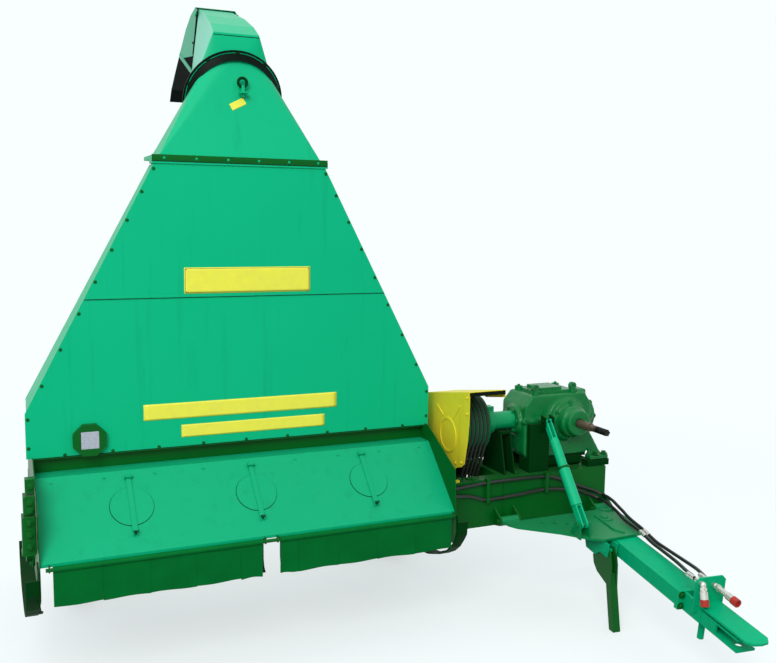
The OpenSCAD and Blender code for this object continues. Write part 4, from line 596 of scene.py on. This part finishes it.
def rubber(name, dark, light, blotch_mm, detail, rough, weave_mm=0.0, deep_mm=0.5, shine=0.5):
    """Rubber of two tones in blotches of that size, with the print of its cloth where it has a weave."""
    material, tree, output = new_material(name)
    spot = add(tree, "ShaderNodeTexCoord").outputs["Object"]
    blotch = add(tree, "ShaderNodeTexNoise", {"Vector": spot, "Scale": 1 / (blotch_mm * MM),
                                              "Detail": detail})
    tone = add(tree, "ShaderNodeMix", {"Factor": blotch.outputs[0], "A": hex_colour(dark),
                                       "B": hex_colour(light)}, data_type="RGBA")
    body = add(tree, "ShaderNodeBsdfPrincipled", {"Base Color": tone.outputs["Result"], "Roughness": rough,
                                                  "Specular IOR Level": shine})
    if weave_mm:
        weave = add(tree, "ShaderNodeTexNoise", {"Vector": spot, "Scale": 1 / (weave_mm * MM), "Detail": 2.0})
        print_left = add(tree, "ShaderNodeBump", {"Height": weave.outputs[0], "Strength": 0.4,
                                                  "Distance": deep_mm * MM})
        tree.links.new(print_left.outputs[0], body.inputs["Normal"])
    tree.links.new(body.outputs[0], output.inputs["Surface"])
    return material


flap_rubber = rubber("painted_conveyor_rubber", "#005c26", "#02722e", 90, 6.0, 0.55, 3, shine=0.05)


def flap_strip(x0, x1, turn):
    """One strip: y = rest + curl (sin across) (down) squared + sway (down), its foot cut in a slight wave."""
    u, v = np.meshgrid(np.linspace(0, 1, 15), np.linspace(0, 1, 13))
    foot = FLAP_DROP - 1.5 + 2.5 * np.sin(2.3 * turn + 5 * u)
    bend = 2.0 * np.sin(np.pi * (u + 0.35 * math.sin(turn * 1.7))) * v ** 2 + 0.9 * math.sin(3.1 * turn) * v
    front = np.stack([x0 + (x1 - x0) * u, FLAP_Y - 3 + bend, FLAP_Z - 6 - (foot - 6) * v], -1)
    back = front + (0, 6.0, 0)
    n = u.size
    faces = grid_faces(13, 15)
    rim = np.concatenate([np.arange(15), np.arange(29, n, 15), np.arange(n - 2, n - 16, -1),
                          np.arange(n - 30, 0, -15)])
    ring = np.roll(rim, -1)
    sides = np.stack([rim, ring, ring + n, rim + n], -1)
    return np.concatenate([front, back]).reshape(-1, 3), np.concatenate(
        [faces[:, ::-1], faces + n, sides]).tolist()


for name, inner, outer in (("flap_right", -21.0, -899.0), ("flap_left", 62.0, 926.0)):
    side = math.copysign(1, outer)
    cuts = [outer - side * STRIP * i for i in range(5)] + [inner]
    strips = [flap_strip(min(a, b) + 0.3, max(a, b) - 0.3, i + 0.37 * side)
              for i, (a, b) in enumerate(zip(cuts[:-1], cuts[1:]))]
    sleeve = turned([(12.0, -abs(outer - inner) / 2), (12.0, abs(outer - inner) / 2)], 24)
    sleeve = set_at(sleeve, ((inner + outer) / 2, FLAP_Y, FLAP_Z), (1, 0, 0))
    made = piece(name + "_rubber", joined(strips + [sleeve]), flap_rubber, name, 50.0)
    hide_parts(name)
dress(shade_painted_green, "shade_green", "flap_rod")

# ---- Skids and wing brackets ----
# Bent 8 mm runners bolted low on the wings, and on the right wing the folded bracket that holds
# the runner's head; runners and bracket are coloured dark green as painted shade.

dress(deep_shade_green, "shade_green", "skids")
bracket = [rounded_bar((-1008, -953), (40, 110), (560, 712), 5),
           rounded_bar((-1011, -955), (36, 116), (552, 562), 3),
           rounded_bar((-1000, -953), (60, 130), (716, 792), 6),
           rounded_bar((-990, -953), (84, 130), (800, 858), 6)]
piece("wing_bracket", joined(bracket), shade_painted_green, "frame")
bolt_rows("wing_bracket_bolts", [(-980, 36, 690), (-980, 36, 640), (-980, 36, 590), (-975, 56, 770),
                                 (-975, 56, 735), (-970, 80, 830)], (0, -1, 0), 17, shade_painted_green, "frame")

# ---- Rotor, pulleys and belts ----
# A drum with hinged flails in four rows, and two cast pulleys with five V-belts. The pulleys are
# a darker green than the sheet.

rotor_steel = enamel("crop_stained_steel", "#1c2a1c", "#3a3c2c", 0.55, 60, 80, peel_mm=6.0, dust=0.3)
pulley_iron = enamel("dark_green_pulley_iron", "#045c30", "#087040", 0.4, 60, 60, peel_mm=5.0, dust=0.0)
dress(rotor_steel, "bare_steel", "rotor")
dress(pulley_iron, "shade_green", "rotor_pulley", "drive_pulley")
belt_rubber = rubber("wrapped_belt_rubber", "#0a120c", "#18221a", 4, 3.0, 0.7)
dress(belt_rubber, "belt_rubber", "v_belts")

# ---- Belt guard ----
# Pressed 3 mm sheet with a raised ring and two arms, open on the gearbox's side, screwed to the
# housing and painted yellow, with a black-green band along its upper front edge.

guard_paint = enamel("yellow_enamel_on_guard", "#e6d42c", "#f0de38", 0.4, 130, 200, dust=0.02, dent=0.010)
dress(guard_paint, "guard_yellow", "belt_guard")
GUARD_X, GUARD_FRONT = (1046.0, 1250.0), 51.0
piece("guard_front_dark_band", rounded_bar((GUARD_X[0] + 1, GUARD_X[1] - 1), (GUARD_FRONT - 1.5, GUARD_FRONT + 6),
                                      (1069, 1088), 1.5), grease_and_shade, "frame")
# the guard's rear fold behind the belts, black-green as painted shade, with a tongue beside the axle's rail
FOLD_Y = (604.0, 608.0)
shaded_fold = joined([rounded_bar((GUARD_X[1] - 2, 1452), FOLD_Y, (592, 716), 1.5),
               rounded_bar((GUARD_X[1] + 2, 1342), FOLD_Y, (474, 591.5), 1.5)])
piece("guard_rear_fold_painted_shade", shaded_fold, grease_and_shade, "frame")
screws = [(GUARD_X[0] - 1, y, z) for y, z in ((70, 1060), (70, 980), (120, 722), (180, 706))]
bolt_rows("guard_screws", screws, (-1, 0, 0), 10, guard_paint, "frame")

# ---- Gearbox ----
# A cast-iron case in two halves, bolted along a split flange, with a ribbed cover, bearing caps
# and feet. The casting is rounded and rough under its green enamel.

cast_green = enamel("green_enamel_on_casting", "#01642a", "#058040", 0.26, 60, 70, peel_mm=9.0, dent=0.006,
                    shine=0.22)
dress(cast_green, "shade_green", "gearbox_cover")
tube_green = enamel("green_enamel_on_tube", "#019a5c", "#04a466", 0.3, 90, 200, shine=0.2)
dress(tube_green, "panel_green", "bearing_tube")


def cast_copy(node, name, voxel_mm, rounds, material, body):
    """A rounded copy of a CAD solid: merged, cut to even cells of that size and smoothed so many times."""
    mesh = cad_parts[node].data.copy()
    mesh.name = name
    mesh.materials.clear()
    mesh.materials.append(material)
    made = bpy.data.objects.new(name, mesh)
    bpy.context.scene.collection.objects.link(made)
    merge = made.modifiers.new("merge", "WELD")
    merge.merge_threshold = 0.05 * MM
    cells = made.modifiers.new("cells", "REMESH")
    cells.mode = "VOXEL"
    cells.voxel_size = voxel_mm * MM
    cells.use_smooth_shade = True
    even = made.modifiers.new("round", "SMOOTH")
    even.factor = 0.6
    even.iterations = rounds
    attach(made, body)
    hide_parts(node)
    return made


# oil sump under the case, between its feet
piece("gearbox_sump", rounded_bar((1652, 1882), (276, 488), (591, 668), 22, 6), deep_shade_green, "frame")
cast_copy("gearbox", "gearbox_casting", 7.0, 10, cast_green, "frame")
GEAR_X, GEAR_Y, GEAR_Z, SPLIT_Z = (1500.0, 1925.0), (262.0, 500.0), (660.0, 1000.0), 860.0
PTO_X, CROSS_Y = 1765.0, 360.0         # lines of the input shaft and of the cross shaft
flange = [(x, GEAR_Y[0] - 4, SPLIT_Z + 9) for x in (1512, 1580, 1640)]
flange += [(x, GEAR_Y[1] + 4, SPLIT_Z + 9) for x in (1530, 1620, 1710, 1800, 1890)]
flange += [(GEAR_X[1] + 6, y, SPLIT_Z + 9) for y in (270, 480)]
bolt_rows("split_flange_bolts", flange, (0, 0, 1), 17, cast_green, "frame")
INPUT_CIRCLE, OUTER_CIRCLE, NECK_CIRCLE = 96.0, 76.0, 62.0      # radii of the caps' rings of bolts
cap = bolt_circle((PTO_X, GEAR_Y[0] - 33, SPLIT_Z), INPUT_CIRCLE, (1, 0, 0), 30)
bolt_rows("input_cap_bolts", cap, (0, -1, 0), 17, cast_green, "frame")
cap = bolt_circle((GEAR_X[1] + 37, CROSS_Y, SPLIT_Z), OUTER_CIRCLE, (0, 1, 0))
bolt_rows("outer_cap_bolts", cap, (1, 0, 0), 17, cast_green, "frame")
foot = [(x, y, 651) for x in (1950, 2005) for y in (238, 470)]
bolt_rows("foot_bolts", foot, (0, 0, 1), 24, shade_painted_green, "frame")
cover = [(x, y, GEAR_Z[1] + 20) for x in (1585, 1825) for y in (GEAR_Y[0] + 34, GEAR_Y[1] - 34)]
bolt_rows("cover_screws", cover, (0, 0, 1), 15, cast_green, "frame")
neck = bolt_circle((GEAR_X[0] - 26, CROSS_Y, SPLIT_Z), NECK_CIRCLE, (0, 1, 0))
bolt_rows("cross_neck_bolts", neck, (-1, 0, 0), 15, cast_green, "frame")

# ---- Input shaft ----
# Splined steel stub for the tractor's drive shaft, held in the input cap's bearing. It is
# unpainted, brown with thin rust and black with old grease.

rusty, tree, output = new_material("rusted_spline_steel")
spot = add(tree, "ShaderNodeTexCoord").outputs["Object"]
bloom = add(tree, "ShaderNodeTexNoise", {"Vector": spot, "Scale": 1 / (16 * MM), "Detail": 8.0,
                                         "Roughness": 0.7})
share = add(tree, "ShaderNodeMapRange", {"Value": bloom.outputs[0], "From Min": 0.35, "From Max": 0.62})
tone = add(tree, "ShaderNodeMix", {"Factor": share.outputs[0], "A": hex_colour("#8a7c6c"),
                                   "B": hex_colour("#4e3626")}, data_type="RGBA")
SPLINES, FADE = 90.0, 15.0              # length of the greasy end, and of its soft edge
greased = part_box("pto_shaft")[0].y + SPLINES * MM
along = add(tree, "ShaderNodeSeparateXYZ", {0: spot}).outputs["Y"]
grimy = add(tree, "ShaderNodeMapRange", {"Value": along, "From Min": greased + FADE * MM,
                                         "From Max": greased - FADE * MM})
tone = add(tree, "ShaderNodeMix", {"Factor": grimy.outputs[0], "A": tone.outputs["Result"],
                                   "B": hex_colour("#0c0c0a")}, data_type="RGBA")
dull = add(tree, "ShaderNodeMapRange", {"Value": share.outputs[0], "To Min": 0.9, "To Max": 0.25})
pit = add(tree, "ShaderNodeBump", {"Height": bloom.outputs[0], "Strength": 0.5, "Distance": 0.0006})
body = add(tree, "ShaderNodeBsdfPrincipled", {"Base Color": tone.outputs["Result"], "Roughness": 0.48,
                                              "Metallic": dull.outputs[0], "Normal": pit.outputs[0]})
tree.links.new(body.outputs[0], output.inputs["Surface"])
dress(rusty, "bare_steel", "pto_shaft")

# ---- Frame ----
# A folded channel beam with the gearbox platform, pedestals and a cross tube behind the housing,
# welded and painted; nuts and weld beads show at the joints.

dress(shade_painted_green, "shade_green", "main_beam", "rear_frame", "rear_hitch")
dress(deep_shade_green, "shade_green", "pedestals")
BEAM_TOP = 590.0
hold = [(x, y, BEAM_TOP + 1) for x, y in ((1100, 240), (1180, 240), (1450, 260), (1450, 500), (1720, 250))]
bolt_rows("beam_bolts", hold, (0, 0, 1), 19, shade_painted_green, "frame")


def weld_bead(start, end, width=7.0):
    """A bead of overlapping ripples: a half-sunk tube whose radius rises and falls every 4 mm."""
    start, end = np.asarray(start, float), np.asarray(end, float)
    steps = max(int(np.linalg.norm(end - start) / 2), 4)
    share = np.linspace(0, 1, steps)
    path = start + (end - start) * share[:, None]
    return swept(path, width / 2 * (0.86 + 0.14 * np.abs(np.sin(np.pi / 2 * np.arange(steps)))), 8)


seams = [((1345, 198, 575), (1345, 198, 345)), ((1990, 205, 592), (1990, 535, 592)),
         ((1518, 262, 592), (1640, 262, 592)), ((1150, 214, 592), (1150, 275, 592))]
piece("beam_welds", joined([weld_bead(*seam) for seam in seams]), shade_painted_green, "frame", 60.0)

# ---- Hitch and drawbar ----
# A sector plate hinged under the beam carries the drawbar: a welded box with a bolted head,
# tongue plate and jaw. The plate is a darker green than the drawbar.

HINGE_Y, HINGE_Z, HITCH_LEAN = 150.0, 375.0, math.radians(6.5)
KING, DRAWBAR_YAW = (1862.0, -130.0), math.radians(5)
plate_green = enamel("green_enamel_on_thick_plate", "#017d46", "#058a50", 0.36, 200, 200, shine=0.15)
dress(plate_green, "panel_green", "hitch_frame")
drawbar_green = enamel("green_enamel_on_drawbar", "#00aa74", "#04b27c", 0.42, 300, 300, dust=0.0, shine=0.05)
dress(drawbar_green, "panel_green", "drawbar", "hitch_head")


def on_hitch(points):
    """Places in the hitch plate's frame, leant up about the hinge line, in the drawings' axes."""
    x, y, z = np.asarray(points, float).T
    c, s = math.cos(HITCH_LEAN), math.sin(HITCH_LEAN)
    return np.stack([x, HINGE_Y + y * c - z * s, HINGE_Z + y * s + z * c], -1)


def on_drawbar(points):
    """Places in the drawbar's frame, turned about the king pin on the hitch plate, in the drawings' axes."""
    x, y, z = np.asarray(points, float).T
    c, s = math.cos(DRAWBAR_YAW), math.sin(DRAWBAR_YAW)
    return on_hitch(np.stack([KING[0] + x * c + y * s, KING[1] - x * s + y * c, z], -1))


def eased(knots, per=8):
    """A smooth path through the knots: Catmull and Rom's cubic between each pair, in so many steps."""
    p = np.asarray(knots, float)
    p = np.concatenate([p[:1], p, p[-1:]])
    t = (np.arange(per) / per)[None, :, None]
    a, b, c, d = (p[i:len(p) - 3 + i, None] for i in range(4))
    path = 0.5 * (2 * b + (c - a) * t + (2 * a - 5 * b + 4 * c - d) * t ** 2
                  + (3 * b - a - 3 * c + d) * t ** 3)
    return np.concatenate([path.reshape(-1, 3), p[-1:]])


ribs = [swept(eased([(1823, -100, 9), (1820, -200, 9), (1818, -270, 9), (1850, -318, 9)]), 6.5, 8),
        swept(eased([(1905, -36, 9), (1935, -60, 9), (1975, -60, 9)]), 6.5, 8)]
points, faces = joined(ribs)
piece("sector_plate_ribs", (on_hitch(points), faces), plate_green, "hitch_frame")
seams = [((-70, -738, -8), (70, -738, -8)), ((-56, -766, -6), (56, -766, -6)),
         ((72, -738, -80), (72, -738, -12)), ((-72, -738, -80), (-72, -738, -12)),
         ((-60, -857, -12), (60, -857, -12))]
points, faces = joined([weld_bead(*seam) for seam in seams])
piece("drawbar_welds", (on_drawbar(points), faces), drawbar_green, "drawbar", 60.0)
spots = on_drawbar([(x, -768.5, z) for x in (-66, 66) for z in (-20, -74)])
ahead = on_drawbar([(0, -1, 0)])[0] - on_drawbar([(0, 0, 0)])[0]
bolt_rows("head_bolts", spots, ahead, 19, shade_painted_green, "drawbar")

# ---- Hydraulic hoses ----
# Black two-wire rubber hose, 17 mm outside, wrapped in its vulcanising cloth's print, clipped to
# the beam and laid along the drawbar, with zinc-plated swaged ferrules.

HOSE_R = 8.5
FRAME_ROUTES = [
    [[951, 188, 560], [1130, 188, 572], [1240, 188, 578], [1420, 188, 580], [1600, 188, 574],
     [1700, 188, 545], [1800, 188, 505], [1880, 188, 474], [1925, 182, 456], [1947, 164, 446],
     [1950, 146, 443], [1950, 130, 443]],
    [[951, 188, 535], [1130, 188, 518], [1240, 188, 488], [1420, 188, 494], [1600, 188, 505],
     [1800, 188, 478], [1860, 188, 453], [1903, 182, 436], [1925, 164, 426], [1928, 146, 423],
     [1928, 130, 423]]]
BRIDGE_ROUTES = [
    [[1950, 130, 443], [1950, 114, 443], [1954, 70, 432], [1954, 20, 414], [1950, -20, 404]],
    [[1928, 130, 423], [1928, 114, 423], [1932, 70, 412], [1932, 20, 400], [1926, -20, 392]]]
DRAWBAR_ROUTES = [
    [[92, -40, 38], [94, -90, 34], [94, -220, 28], [92, -330, 18], [90, -420, 22], [84, -560, 34],
     [60, -690, 56], [24, -790, 76], [10, -820, 80], [10, -836.5, 80]],
    [[68, -40, 26], [70, -90, 24], [72, -220, 24], [70, -330, 14], [66, -420, 16], [50, -560, 26],
     [8, -690, 50], [-44, -790, 88], [-58, -820, 94], [-58, -836.5, 94]]]
hose_rubber = rubber("wrapped_hose_rubber", "#0c100e", "#20261f", 30, 5.0, 0.42, 2.5, 0.4)
# yellow-clear zinc plating: a soft grey metal with faint cloudy tints
zinc, tree, output = new_material("zinc_plated_steel")
spot = add(tree, "ShaderNodeTexCoord").outputs["Object"]
cloud = add(tree, "ShaderNodeTexNoise", {"Vector": spot, "Scale": 1 / (12 * MM), "Detail": 5.0})
tone = add(tree, "ShaderNodeMix", {"Factor": cloud.outputs[0], "A": hex_colour("#c9c8c2"),
                                   "B": hex_colour("#e4e2da")}, data_type="RGBA")
dull = add(tree, "ShaderNodeMapRange", {"Value": cloud.outputs[0], "To Min": 0.22, "To Max": 0.48})
body = add(tree, "ShaderNodeBsdfPrincipled", {"Base Color": tone.outputs["Result"],
                                              "Roughness": dull.outputs[0], "Metallic": 0.9})
tree.links.new(body.outputs[0], output.inputs["Surface"])


def hose_pair(name, paths, body):
    """Both hoses along their paths, as one piece that stands for the node of that name."""
    made = piece(name + "_rubber", joined([swept(path, HOSE_R, 20) for path in paths]), hose_rubber, body,
                 70.0)
    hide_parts(name)
    return made


hose_pair("frame_hoses", [eased(route, 10) for route in FRAME_ROUTES], "frame")
over_hinge = hose_pair("bridge_hoses", [eased(route, 10) for route in BRIDGE_ROUTES], None)
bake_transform(over_hinge)
# the drawbar's hoses start where the hinge's end
along = [eased(np.concatenate([[bridge[-1]], on_drawbar(route)[1:]]), 10)
         for bridge, route in zip(BRIDGE_ROUTES, DRAWBAR_ROUTES)]
to_couplers = hose_pair("drawbar_hoses", along, None)
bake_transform(to_couplers)

ferrule = turned([(9.2, 0), (11.0, 3), (11.0, 16), (10.2, 18), (11.0, 20), (11.0, 36), (10.2, 38),
                  (11.0, 40), (11.0, 46), (9.2, 50)], 20)
swaged = []
for route in DRAWBAR_ROUTES:
    for ends in (route[2:4], [(route[-2][0], -775, route[-2][2] - 4), route[-1]]):
        start, end = on_drawbar(ends)
        swaged.append(set_at(ferrule, start, end - start))
piece("hose_ferrules", joined(swaged), zinc, "drawbar", 30.0)

# ---- Quick couplers and caps ----
# Zinc-plated couplers on elbows, held in the head's bracket by lock nuts. Each is closed by a
# soft red plastic cap.

dress(zinc, "bare_steel", "couplers")
cap_red, tree, output = new_material("red_soft_pvc")
spot = add(tree, "ShaderNodeTexCoord").outputs["Object"]
chalk = add(tree, "ShaderNodeTexNoise", {"Vector": spot, "Scale": 1 / (9 * MM), "Detail": 5.0})
tone = add(tree, "ShaderNodeMix", {"Factor": chalk.outputs[0], "A": hex_colour("#c4281c"),
                                   "B": hex_colour("#9c1c14")}, data_type="RGBA")
body = add(tree, "ShaderNodeBsdfPrincipled", {"Base Color": tone.outputs["Result"], "Roughness": 0.45,
                                              "Subsurface Weight": 0.05})
tree.links.new(body.outputs[0], output.inputs["Surface"])
dress(cap_red, "cap_red", "coupler_caps")

# ---- Strut ----
# A telescopic support of drawn tube between the gearbox's foot and the hitch plate; a rolled
# ring marks where its halves meet.

STRUT_HIGH, STRUT_SPLIT, STRUT_R = np.array([1612.0, 211.0, 868.0]), 274.0, 25.0
dress(sheet_green, "panel_green", "strut_tube", "strut_rod")
strut_low = on_hitch([[1612.0, -282.0, 66.0]])[0]
strut_way = (strut_low - STRUT_HIGH) / np.linalg.norm(strut_low - STRUT_HIGH)
ring = hooped([(STRUT_R - 1, -5), (STRUT_R + 5.5, -5), (STRUT_R + 7.5, -2), (STRUT_R + 7.5, 2),
               (STRUT_R + 5.5, 5), (STRUT_R - 1, 5)], 40)
piece("strut_ring", set_at(ring, STRUT_HIGH + strut_way * (STRUT_SPLIT - 8), strut_way), shade_painted_green,
      "strut_tube")

# ---- Stand ----
# A leg of square steel tube between two welded gusset plates, painted with the frame. It is
# pinned in a bracket on the drawbar's side.

dress(shade_painted_green, "shade_green", "stand")

# ---- Wheels and axle ----
# Implement tyres with straight ribs and cut shoulders on pressed rims, on stub axles at the ends
# of a cranked axle that the lift cylinder turns.

RIM_R, TYRE_R, TYRE_W = 205.0, 350.0, 190.0
WHEEL_Y, WHEEL_Z = 1230.0, 240.0
GROOVE_LINES, GROOVE_DEEP = (0.0, 34.0), 9.0
CUTS, CUT_DEEP = 36, 6.0                # slots round each shoulder
dress(shade_painted_green, "shade_green", "axle", "rim_left", "rim_right")
tyre_rubber, tree, output = new_material("weathered_tyre_rubber")
spot = add(tree, "ShaderNodeTexCoord").outputs["Object"]
soil = add(tree, "ShaderNodeTexNoise", {"Vector": spot, "Scale": 1 / (50 * MM), "Detail": 8.0,
                                        "Roughness": 0.7})
share = add(tree, "ShaderNodeMapRange", {"Value": soil.outputs[0], "From Min": 0.5, "From Max": 0.75,
                                         "To Max": 0.55})
tone = add(tree, "ShaderNodeMix", {"Factor": share.outputs[0], "A": hex_colour("#171918"),
                                   "B": hex_colour("#5c5848")}, data_type="RGBA")
fine = add(tree, "ShaderNodeTexNoise", {"Vector": spot, "Scale": 1 / (3 * MM), "Detail": 3.0})
grain = add(tree, "ShaderNodeBump", {"Height": fine.outputs[0], "Strength": 0.5, "Distance": 0.0005})
body = add(tree, "ShaderNodeBsdfPrincipled", {"Base Color": tone.outputs["Result"], "Roughness": 0.7,
                                              "Normal": grain.outputs[0]})
tree.links.new(body.outputs[0], output.inputs["Surface"])


def ribbed_tyre(x):
    """A section carried round the axle: p = (h(s), r cos a, r sin a), with r(s, a) less grooves and cuts."""
    half = TYRE_W / 2
    side = [(RIM_R + 0.3, 55), (RIM_R + 12.4, 59.3), (RIM_R + 12.4, 70), (RIM_R + 28, 80),
            (RIM_R + 46, half - 6), (TYRE_R - 84, half), (TYRE_R - 60, half - 1), (TYRE_R - 40, half - 4),
            (TYRE_R - 26, half - 8), (TYRE_R - 14, half - 14), (TYRE_R - 8, half - 22),
            (TYRE_R - 2, half - 32), (TYRE_R, half - 42)]
    crown = np.linspace(half - 42, 42 - half, 41)[1:-1]
    radius = np.array([r for r, _ in side] + [TYRE_R] * len(crown) + [r for r, _ in side[::-1]])
    across = np.array([h for _, h in side] + list(crown) + [-h for _, h in side[::-1]])
    sides = 8 * CUTS
    a = np.arange(sides) * 2 * np.pi / sides
    off_line = np.abs(np.abs(across)[:, None] - GROOVE_LINES).min(1)
    groove = GROOVE_DEEP * np.clip(1.6 - off_line / 4, 0, 1)
    shoulder = (np.abs(across) > 46) & (radius > TYRE_R - 20)
    cut = CUT_DEEP * (np.arange(sides) % 8 < 2) * shoulder[:, None]
    r = radius[:, None] - np.maximum(groove[:, None] * (radius > TYRE_R - 1)[:, None], cut)
    rings = np.stack([np.broadcast_to(x + across[:, None], r.shape), WHEEL_Y + r * np.cos(a),
                      WHEEL_Z + r * np.sin(a)], -1)
    return rings.reshape(-1, 3), grid_faces(len(radius), sides, True, True)[:, ::-1]


for x, name in ((-700.0, "right"), (1100.0, "left")):
    made = piece("tyre_ribbed_" + name, ribbed_tyre(x), tyre_rubber, "wheel_" + name, 35.0)
    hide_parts("tyre_" + name)

# ---- Lift cylinder ----
# A hydraulic cylinder pinned between the frame's mast and the axle's arm. The barrel has the
# dark painted-shade green; the steel rod is hard-chromed and stays bright with oil.

dress(deep_shade_green, "shade_green", "lift_barrel")
chrome, tree, output = new_material("hard_chromed_rod")
spot = add(tree, "ShaderNodeTexCoord").outputs["Object"]
film = add(tree, "ShaderNodeTexNoise", {"Vector": spot, "Scale": 1 / (8 * MM), "Detail": 4.0})
dull = add(tree, "ShaderNodeMapRange", {"Value": film.outputs[0], "To Min": 0.10, "To Max": 0.24})
body = add(tree, "ShaderNodeBsdfPrincipled", {"Base Color": hex_colour("#c8cacc"),
                                              "Roughness": dull.outputs[0], "Metallic": 1.0})
tree.links.new(body.outputs[0], output.inputs["Surface"])
dress(chrome, "bare_steel", "lift_rod")
